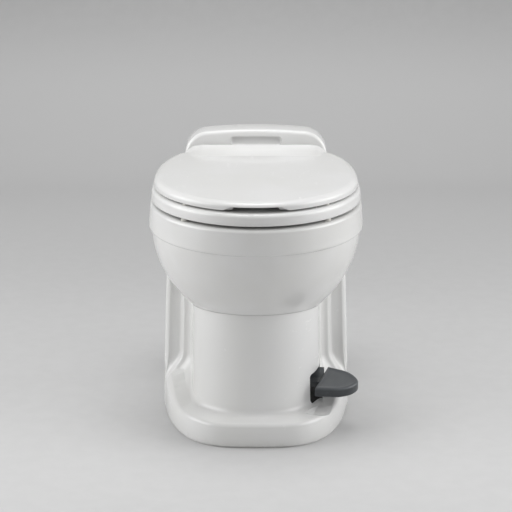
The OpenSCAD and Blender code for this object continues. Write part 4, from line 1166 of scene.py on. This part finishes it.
@dataclass
class Seat:
    """Open seat ring with its two hinge knuckles, hollow underneath."""

    plan: Plan = PLAN
    half: float = 186.0
    front: float = 208.0
    low: float = 418.4
    top: float = 440.0
    mouth: float = 116.0
    back: float = 152.0
    knuckle: Pair = (71.0, 95.0)  # near and far face
    barrel: float = 10.5

    def outer(self, inset: float, z: float) -> Ring:
        """Outline of the seat, cut straight across the back."""
        w, f, b = self.half - inset, self.front - inset, RIM_BACK - inset
        ring = egg(w, f, b, self.plan.rim_y, z, self.plan.points)
        ring[:, 1] = np.minimum(ring[:, 1], self.back - inset * 0.4)
        return ring

    def inner(self, grow: float, z: float) -> Ring:
        """Outline of the opening."""
        m, p = self.mouth, self.plan
        ahead = self.front - self.half + m + 2 + grow
        return egg(m + grow, ahead, m - 4 + grow, p.rim_y, z, p.points, 2.2)

    def dress(self) -> Solid:
        """Builds the ring and hands it to the frame."""
        low, top = self.low, self.top
        # Outside and inside of the ring from below, as inset or growth and height
        rise = [(2.5, low), *corner((2.5, low), (0, low + 5), 6, False), (0.2, low + 9)]
        rise += [(0.8, top - 8), *corner((0.8, top - 8), (10, top), 10, True), (15, top - 0.1)]
        dip = [(26, top - 0.2), (20, top - 0.7), (14, top - 1.6), (9, top - 3.2)]
        dip += corner((9, top - 3.2), (0, top - 14), 9, False)
        dip += [(0.4, low + 4), (1.5, low), (8, low), (9.5, low + 11)]
        rings = [self.outer(inset, z) for inset, z in rise]
        rings += [self.inner(grow, z) for grow, z in dip]
        rings += [self.outer(inset, z) for inset, z in ((12, low + 11), (10.5, low))]
        seat = put("seat_ring_moulding", *loft(rings, True), Finish.SEAT)
        near, far = self.knuckle
        for x0, x1 in ((-far, -near), (near, far)):
            arm = hinge_arm(x0, x1, low + 6, top - 3, self.back - 10, self.barrel)
            combine(seat, "UNION", arm)
        combine(seat, "DIFFERENCE", pin_hole())
        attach(seat, "seat")
        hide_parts("seat_ring")
        return seat


def pin_hole() -> Solid:
    """Cut for the hinge pin, all the way across."""
    spot = (PLAN.hinge_y, PLAN.hinge_z)
    return rod("pin_hole", 0, (-PIN_REACH, PIN_REACH), PIN_HOLE_R, spot, 48)


def hinge_arm(
    x0: float, x1: float, low: float, high: float, from_y: float, barrel: float
) -> Solid:
    """Arm and barrel of a hinge, drawn in side view and rounded at both ends.

    Args:
        x0: left face.
        x1: right face.
        low: underside where the arm leaves its panel.
        high: top where it leaves.
        from_y: where it leaves.
        barrel: radius of the barrel.

    Returns:
        The solid.
    """
    hy, hz = PLAN.hinge_y, PLAN.hinge_z
    outline = [(from_y, low), (from_y + 13, low)]
    outline += arc(hy, hz, barrel, -114, 124, 40)
    outline += [(from_y + 5, high), (from_y, high)]
    flat = np.array(outline)
    away = flat - (hy - 14, hz - 3)
    away /= np.linalg.norm(away, axis=1)[:, None]
    ends = [(x0, 0.9), (x0 + 0.3, 0.4), (x0 + 0.9, 0.0)]
    ends += [(x1 - 0.9, 0.0), (x1 - 0.3, 0.4), (x1, 0.9)]
    rings = [np.insert(flat - away * shrink, 0, x, axis=1) for x, shrink in ends]
    return put("hinge_arm", *loft(rings), Finish.SEAT)


@dataclass
class Lid:
    """Slightly crowned lid with a rolled edge, a finger notch and a band that covers the hinge."""

    plan: Plan = PLAN
    half: float = 181.0
    front: float = 201.5
    low: float = 443.0
    thick: float = 15.0
    crown: float = 3.0
    middle_y: float = 10.0
    back: float = 150.0
    notch: Pair = (112.0, 7.0)  # width and height
    barrel_half: float = 70.0
    barrel: float = 12.2
    cover: Triple = (113.0, 13.0, 10.9)  # half width, outer and inner radius
    cover_end: float = 14.0
    end_steps: int = 6
    fairing: float = 32.0
    fairing_steps: int = 13

    def hinge_cover(self) -> Solid:
        """Strip that runs back from the lid and rolls over the whole hinge.

        Outward from the hinge's middle, the end steps drop to the band's round end and the
        further ones fade into the lid.
        """
        ends, fades, end = self.end_steps, self.fairing_steps, self.cover_end
        last = ends + fades + 1
        half, r_out, r_in = self.cover
        y, z = self.plan.hinge_y, self.plan.hinge_z
        front_y, under_z, sunk = 98.0, 451.4, np.array((140.0, 452.0))
        along = np.array((98.0, 106.0, 116.0, 128.0, 140.0, 148.0, 156.0, 163.0))
        risen = np.array((457.2, 458.4, 459.3, 460.2, 461.2, 462.1, 463.3, 464.5))
        roll = arc(y, z, r_out, 104, 62, 12) + arc(y, z, (r_out + r_in) / 2, 57, 57, 1)[:1]
        roll += arc(y, z, r_in, 60, 125.5, 14)
        share = np.linspace(0, 1, len(roll) - 12)[1:-1, None]
        rings = []
        for k in [*range(-last, 0), *range(1, last + 1)]:
            step = abs(k)
            fade = ease((step - ends - 1) / fades)
            drop = 1.5 * ease((step - 1) / (ends - 1))
            x = half + 0.05 + self.fairing * (step - ends - 1) / fades
            if step <= ends:
                x = min(half - end + end * (step - 1) / (ends - 1), half)
            low = np.array([(149.0 - 14 * fade, under_z), (front_y, under_z)])
            ahead = along - (along - front_y) * 0.42 * fade
            top = np.column_stack([ahead, risen - (risen - sunk[1]) * fade])
            top[:, 1] -= drop * np.clip((along - 130) / 30, 0, 1) * (1 - fade)
            back = np.array(roll)
            back[:13] -= (back[:13] - (y, z)) * (drop / r_out)
            if step > ends:
                back[:14] += (sunk - back[:14]) * fade
                back[14:] = back[13] + (low[0] - back[13]) * share
            outline = np.concatenate([low, top, back])
            rings.append(np.insert(outline, 0, math.copysign(x, k), axis=1))
        return put("hinge_cover", *loft(rings), Finish.SEAT)

    def ring(self, inset: float, z: float, share: float = 1.0) -> Ring:
        """Outline of the lid, inset from its edge and shrunk toward its middle."""
        w, f, b = self.half - inset, self.front - inset, LID_BACK - inset
        ring = egg(w, f, b, self.plan.rim_y, z, self.plan.points)
        ring[:, 1] = np.minimum(ring[:, 1], self.back - inset * 0.35)
        ring[:, 0] *= share
        ring[:, 1] = (ring[:, 1] - self.middle_y) * share + self.middle_y
        return ring

    def notch_tool(self) -> Solid:
        """Cut of the finger notch, with round shoulders."""
        wide, high = self.notch
        x, z = wide / 2, self.low - 4
        ring = [(-x - 4, z - 10), (x + 4, z - 10), (x + 3, z + 3)]
        ring += arc(x - 14, z + high - 2, 6, 40, 90, 6)
        ring += arc(14 - x, z + high - 2, 6, 90, 140, 6)
        ring += [(-x - 3, z + 3)]
        # The cut starts inside the lid's edge and runs out in front of it
        y0 = self.plan.rim_y - self.front + 17
        return prism("notch", 1, ring, (y0, y0 - 40))

    def dress(self) -> Solid:
        """Builds the lid and hands it to the frame."""
        low, top = self.low, self.low + self.thick
        rings = [self.ring(13, low + 8, share) for share in (0.3, 0.7, 1.0)]
        edge = [(11.5, low), (2.2, low), *corner((2.2, low), (0, low + 2.6), 6, False)]
        edge += [(0.4, low + 6), *corner((0.4, low + 6), (14, top), 14, True)]
        rings += [self.ring(inset, z) for inset, z in edge]
        for share in (1 - k / 15 for k in range(1, 15)):
            rings.append(self.ring(14, top + self.crown * (1 - share**2), share))
        rings.append(self.ring(14, top + self.crown, 0.02))
        lid = put("lid_moulding", *loft(rings), Finish.SEAT)
        combine(lid, "DIFFERENCE", self.notch_tool())
        half = self.barrel_half
        arm = hinge_arm(-half, half, low + 2, top - 2, self.back - 6, self.barrel)
        combine(lid, "UNION", arm, self.hinge_cover())
        combine(lid, "DIFFERENCE", pin_hole())
        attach(lid, "lid")
        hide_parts("lid")
        return lid


@dataclass
class Pedal:
    """Dark foot pad with rolled edges and a ridge in front, its web and the slot's shroud."""

    outline: tuple[Pair, ...] = (
        (105, -118), (128, -121), (152, -121), (174, -109), (184, -86), (168, -54), (131, -33),
    )
    middle: Pair = (148.0, -80.0)
    top_z: float = 93.0
    tilt: float = 8.0
    thick: float = 18.0
    lever_face: float = 90.0
    web_reach: float = 124.0
    shroud_reach: float = 93.0
    screw_y: Pair = (-74.0, -50.0)
    screw_r: float = 2.05
    steps: int = 14

    def curve(self, inset: float = 0.0) -> list[Pair]:
        """Closed plan outline, smooth except for the straight edge beside the slot."""
        toe = spline([(x, y, 0.0) for x, y in self.outline], self.steps)[:, :2]
        back, front = toe[-1], toe[0]
        edge = [back + (front - back) * k / self.steps for k in range(1, self.steps)]
        mid = np.array(self.middle)
        out = []
        for q in [*toe, *edge]:
            v = q - mid
            q = mid + v * (1 - inset / np.linalg.norm(v))
            out.append((q[0], q[1]))
        return out

    def ring(self, inset: float, z: float) -> Ring:
        """One level of the pad, in its tilted place."""
        lean, mid_y = math.radians(self.tilt), self.middle[1]
        dz = z - self.thick
        rows = []
        for x, y in self.curve(inset):
            dy = y - mid_y
            ahead = mid_y + dy * math.cos(lean) - dz * math.sin(lean)
            rows.append((x, ahead, self.top_z + dy * math.sin(lean) + dz * math.cos(lean)))
        return np.array(rows)

    def dress(self) -> Solid:
        """Builds the pad and hands it to the frame."""
        t = self.thick
        section = [(3.2, 0.0), *corner((3.2, 0.0), (0.0, 3.0), 6, False), (0.0, t - 4)]
        section += corner((0.0, t - 4), (4.2, t), 10, True)
        section += [(6, t), (7.5, t - 0.5), (9.5, t - 1.0)]
        section += [(16, t - 1.1), (24, t - 1.1), (30, t - 1.1)]
        pad = put("foot_pad", *loft([self.ring(i, z) for i, z in section]), Finish.PEDAL)
        x0 = self.lever_face + 0.1
        web = [(-84, 77.3), (-52, 79), (-34, 87), (-34, 98), (-40, 100), (-66, 89.7), (-84, 87)]
        shroud = [(-87, 57.5), (-40, 51.5), (-10, 47.5), (-10, 101), (-87, 101)]
        for name, side, x1 in (("web", web, self.web_reach), ("shroud", shroud, self.shroud_reach)):
            combine(pad, "UNION", prism(name, 0, side, (x0, x1), Finish.PEDAL))
        spots = [(y, 84 + (y - self.screw_y[0]) * 0.25) for y in self.screw_y]
        holes = [rod("screw", 0, (self.lever_face, 108), self.screw_r, at, 24) for at in spots]
        combine(pad, "DIFFERENCE", *holes)
        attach(pad, "pedal")
        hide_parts("pedal_pad")
        return pad


@dataclass
class Plumbing:
    """Smooth hoses and the slots pressed round their clamps."""

    hose_r: float = 8.0
    bore: float = 5.5
    sides: int = 28
    path_steps: int = 10
    breaker_r: float = 16.0
    breaker: Triple = (78.0, 225.0, 424.0)  # where the breaker stands
    valve: Triple = (86.0, 135.0, 118.7)  # where the water valve stands
    band: float = 1.3  # thickness of a clamp's band
    slot_half: Pair = (0.35, 1.8)
    slot_count: int = 16
    slot_turn: float = 14.0

    def supply(self) -> Solid:
        """Hose from the water valve up to the vacuum breaker."""
        (vx, vy, vz), (bx, by, bz) = self.valve, self.breaker
        path = [(vx, vy, vz + rise) for rise in (42, 50, 58, 66)]
        path += [(vx + 2, vy + 22, vz + 110), (vx + 2, vy + 66, vz + 170)]
        path += [(bx + 2, by - 22, bz - 90), (bx, by - 13, bz - 58)]
        path += [(bx, by, bz - drop) for drop in (30, 20, 2)]
        return self.hose("supply_hose_skin", path, (0.3, -1.0, 0.05), "supply_hose")

    def rim(self) -> Solid:
        """Tube from the vacuum breaker to the bowl's flush channel."""
        bx, by, bz = self.breaker
        x, z = bx - self.breaker_r, PLAN.rim_z
        path = [(x - out, by, bz + 10) for out in (3, 16, 24)]
        path += [(16, by + 1, bz + 4), (2, by - 3, z - 8), (0, by - 14, z - 19)]
        path += [(0, y, z - 22) for y in (190, 160, 135)]
        return self.hose("rim_tube_skin", path, (0.2, 0.3, 1.0), "rim_tube")

    def hose(self, name: str, points: list[Triple], side: Triple, node: str) -> Solid:
        """Smooth hollow hose through points."""
        path = spline(points, self.path_steps)
        inner = hoops(path, self.bore, self.sides, side)[::-1]
        rings = [*hoops(path, self.hose_r, self.sides, side), *inner]
        hose = put(name, *loft(rings, True), Finish.RUBBER)
        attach(hose, "pedestal")
        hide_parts(node)
        return hose

    def dress(self, repeater: Repeater) -> list[Solid]:
        """Builds the hoses and the repeats."""
        return [self.supply(), self.rim(), *self.band_slots(repeater)]

    def band_slots(self, repeater: Repeater) -> list[Solid]:
        """Worm-drive slots pressed round both hose clamps."""
        out = []
        (vx, vy, vz), (bx, by, bz) = self.valve, self.breaker
        (x, z), r = self.slot_half, self.hose_r + self.band
        for k, spot in enumerate(((vx, vy, vz + 50), (bx, by, bz - 10))):
            slots = box_solid(f"clamp_slots_{k}", (-x, -r - 0.06, -z), (x, -r + 0.3, z))
            moved(repeater.run(slots, self.slot_count, self.slot_turn, Finish.SLOT), spot)
            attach(slots, "pedestal")
            out.append(slots)
        return out


# What each carried-over node wears

WEAR: dict[Finish, tuple[str, ...]] = {
    Finish.RUBBER: ("bowl_gasket", "ball_seal", "floor_seal"),
    Finish.RESIN: (
        "valve_body", "clamp_half_front", "clamp_half_rear", "water_valve", "vacuum_breaker",
        "breaker_cap", "hinge_nuts",
    ),
    Finish.BUSH: ("shaft_bushes",),
    Finish.FLOAT: ("breaker_float",),
    Finish.BALL: ("flush_ball",),
    Finish.LEVER: ("pedal_lever", "pivot_bracket"),
    Finish.SOFT: ("seat_bumpers", "lid_bumpers"),
    Finish.TRIM: ("hinge_posts",),
}


def wear_nodes(hidden: set[str]) -> int:
    """Gives every carried-over CAD node its finish; what WEAR doesn't list is bright steel.

    Args:
        hidden: nodes that a piece stands for.

    Returns:
        How many nodes were dressed.
    """
    worn = {name: finish for finish, names in WEAR.items() for name in names}
    bare = {name: obj for name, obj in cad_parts.items() if name not in hidden}
    for name, obj in bare.items():
        material = worn.get(name, Finish.STEEL).material()
        for slot in obj.material_slots:
            slot.material = material
    return len(bare)


# Studio


@dataclass(frozen=True)
class Lamp:
    """One softbox: a panel that glows less toward its edges, and that the camera doesn't see."""

    name: str
    place: Triple
    aim: Triple
    size: Pair
    strength: float

    def build(self) -> None:
        """Adds the panel."""
        wide, high = self.size[0] / 2, self.size[1] / 2
        g = Graph(self.name + "_cloth")
        across, up = g.height(0) * (1 / wide), g.height(1) * (1 / high)
        glow = (1.0 - across * across) * (1.0 - up * up)
        g.set(
            Base_Color=BLACK,
            Roughness=1.0,
            Emission_Color=g.mix(glow, BLACK, WHITE),
            Emission_Strength=self.strength,
        )
        corners = np.array([(-wide, -high, 0), (-wide, high, 0), (wide, high, 0), (wide, -high, 0)])
        obj = linked(self.name, corners, [[0, 1, 2, 3]], g.material)
        obj.location = self.place
        way = Vector(self.aim) - Vector(self.place)
        obj.rotation_euler = way.to_track_quat("-Z", "Y").to_euler()
        obj.visible_camera = False


@dataclass
class Studio:
    """Seamless pale sweep, soft lamps and the photograph's viewpoint."""

    camera_at: Triple = (0.0, -3.4, 1.267)
    pitch_deg: float = 15.89
    lens_mm: float = 137.0
    sensor_mm: float = 36.0
    lamps: tuple[Lamp, ...] = (
        Lamp("left_softbox", (-1.7, -0.25, 1.0), (0, 0, 0.35), (2.5, 1.9), 4.0),
        Lamp("right_softbox", (1.7, -0.25, 1.0), (0, 0, 0.35), (2.5, 1.9), 4.0),
        Lamp("top_softbox", (0.0, -0.1, 2.3), (0, 0, 0.3), (1.8, 1.4), 6.2),
    )
    half_width: float = 7000.0  # of the sweep, in millimetres like its other sizes
    near: float = -4200.0
    back: float = 2600.0
    radius: float = 900.0
    top: float = 4200.0
    world_grey: float = 0.92
    world_strength: float = 0.29

    def sweep(self) -> None:
        """Floor that curves up into the backdrop, seen from its front only."""
        g = Graph("studio_paper")
        fibre = g.noise(30.0, 5.0)
        tone = g.mix(fibre.fit(0.3, 0.7), rgba(0.585, 0.585, 0.585), rgba(0.6, 0.6, 0.6))
        # Painted light: the floor toward the back and the foot of the backdrop are painted lighter.
        rise = g.height(1).fit(0.7, 1.9) * g.height().fit(0.15, 0.45, 1.0, 0.0)
        tone = g.mix(rise, tone, rgba(0.74, 0.74, 0.74))
        behind = g.add("ShaderNodeNewGeometry", output="Backfacing")
        g.set(Base_Color=tone, Roughness=0.85, Alpha=1.0 - behind)
        section = [(self.near, 0.0), (-1000, 0.0), (0, 0.0), (1000, 0.0)]
        section += arc(self.back - self.radius, self.radius, self.radius, -90, 0, 24)
        section.append((self.back, self.top))
        co = [(x, y, z) for y, z in section for x in (-self.half_width, self.half_width)]
        faces = [[k, k + 1, k + 3, k + 2] for k in range(0, len(co) - 2, 2)]
        obj = linked("sweep", np.array(co) * MM, faces, g.material)
        obj.data.shade_smooth()

    def world(self) -> None:
        """Even grey surroundings."""
        world = bpy.data.worlds.new("surroundings")
        world.use_nodes = True
        light = world.node_tree.nodes["Background"].inputs
        light[0].default_value = rgba(self.world_grey, self.world_grey, self.world_grey)
        light[1].default_value = self.world_strength
        bpy.context.scene.world = world

    def camera(self) -> None:
        """The photograph's camera."""
        data = bpy.data.cameras.new("camera")
        data.sensor_width = self.sensor_mm
        data.lens = self.lens_mm
        obj = bpy.data.objects.new("camera", data)
        obj.location = self.camera_at
        obj.rotation_euler = (math.radians(90 - self.pitch_deg), 0, 0)
        bpy.context.collection.objects.link(obj)
        bpy.context.scene.camera = obj

    def build(self) -> None:
        """Sets the whole studio."""
        self.sweep()
        self.world()
        self.camera()
        for lamp in self.lamps:
            lamp.build()
        bpy.context.scene.view_settings.view_transform = "Standard"


def main() -> None:
    """Dresses the frame, piece by piece, and sets the studio."""
    logging.basicConfig(level=logging.INFO, format="%(name)s: %(message)s")
    pedal = Pedal()
    made = [Bowl().dress(), Pedestal().dress(pedal.curve()), Seat().dress(), Lid().dress()]
    made += [pedal.dress(), *Plumbing().dress(Repeater())]
    hidden = {"bowl", "base_shell", "seat_ring", "lid", "pedal_pad", "supply_hose", "rim_tube"}
    count = wear_nodes(hidden)
    for obj in made:
        LOG.info("%s: %d faces", obj.name, len(obj.data.polygons))
    LOG.info("%d frame nodes dressed", count)
    Studio().build()


if __name__ == "__main__":
    main()
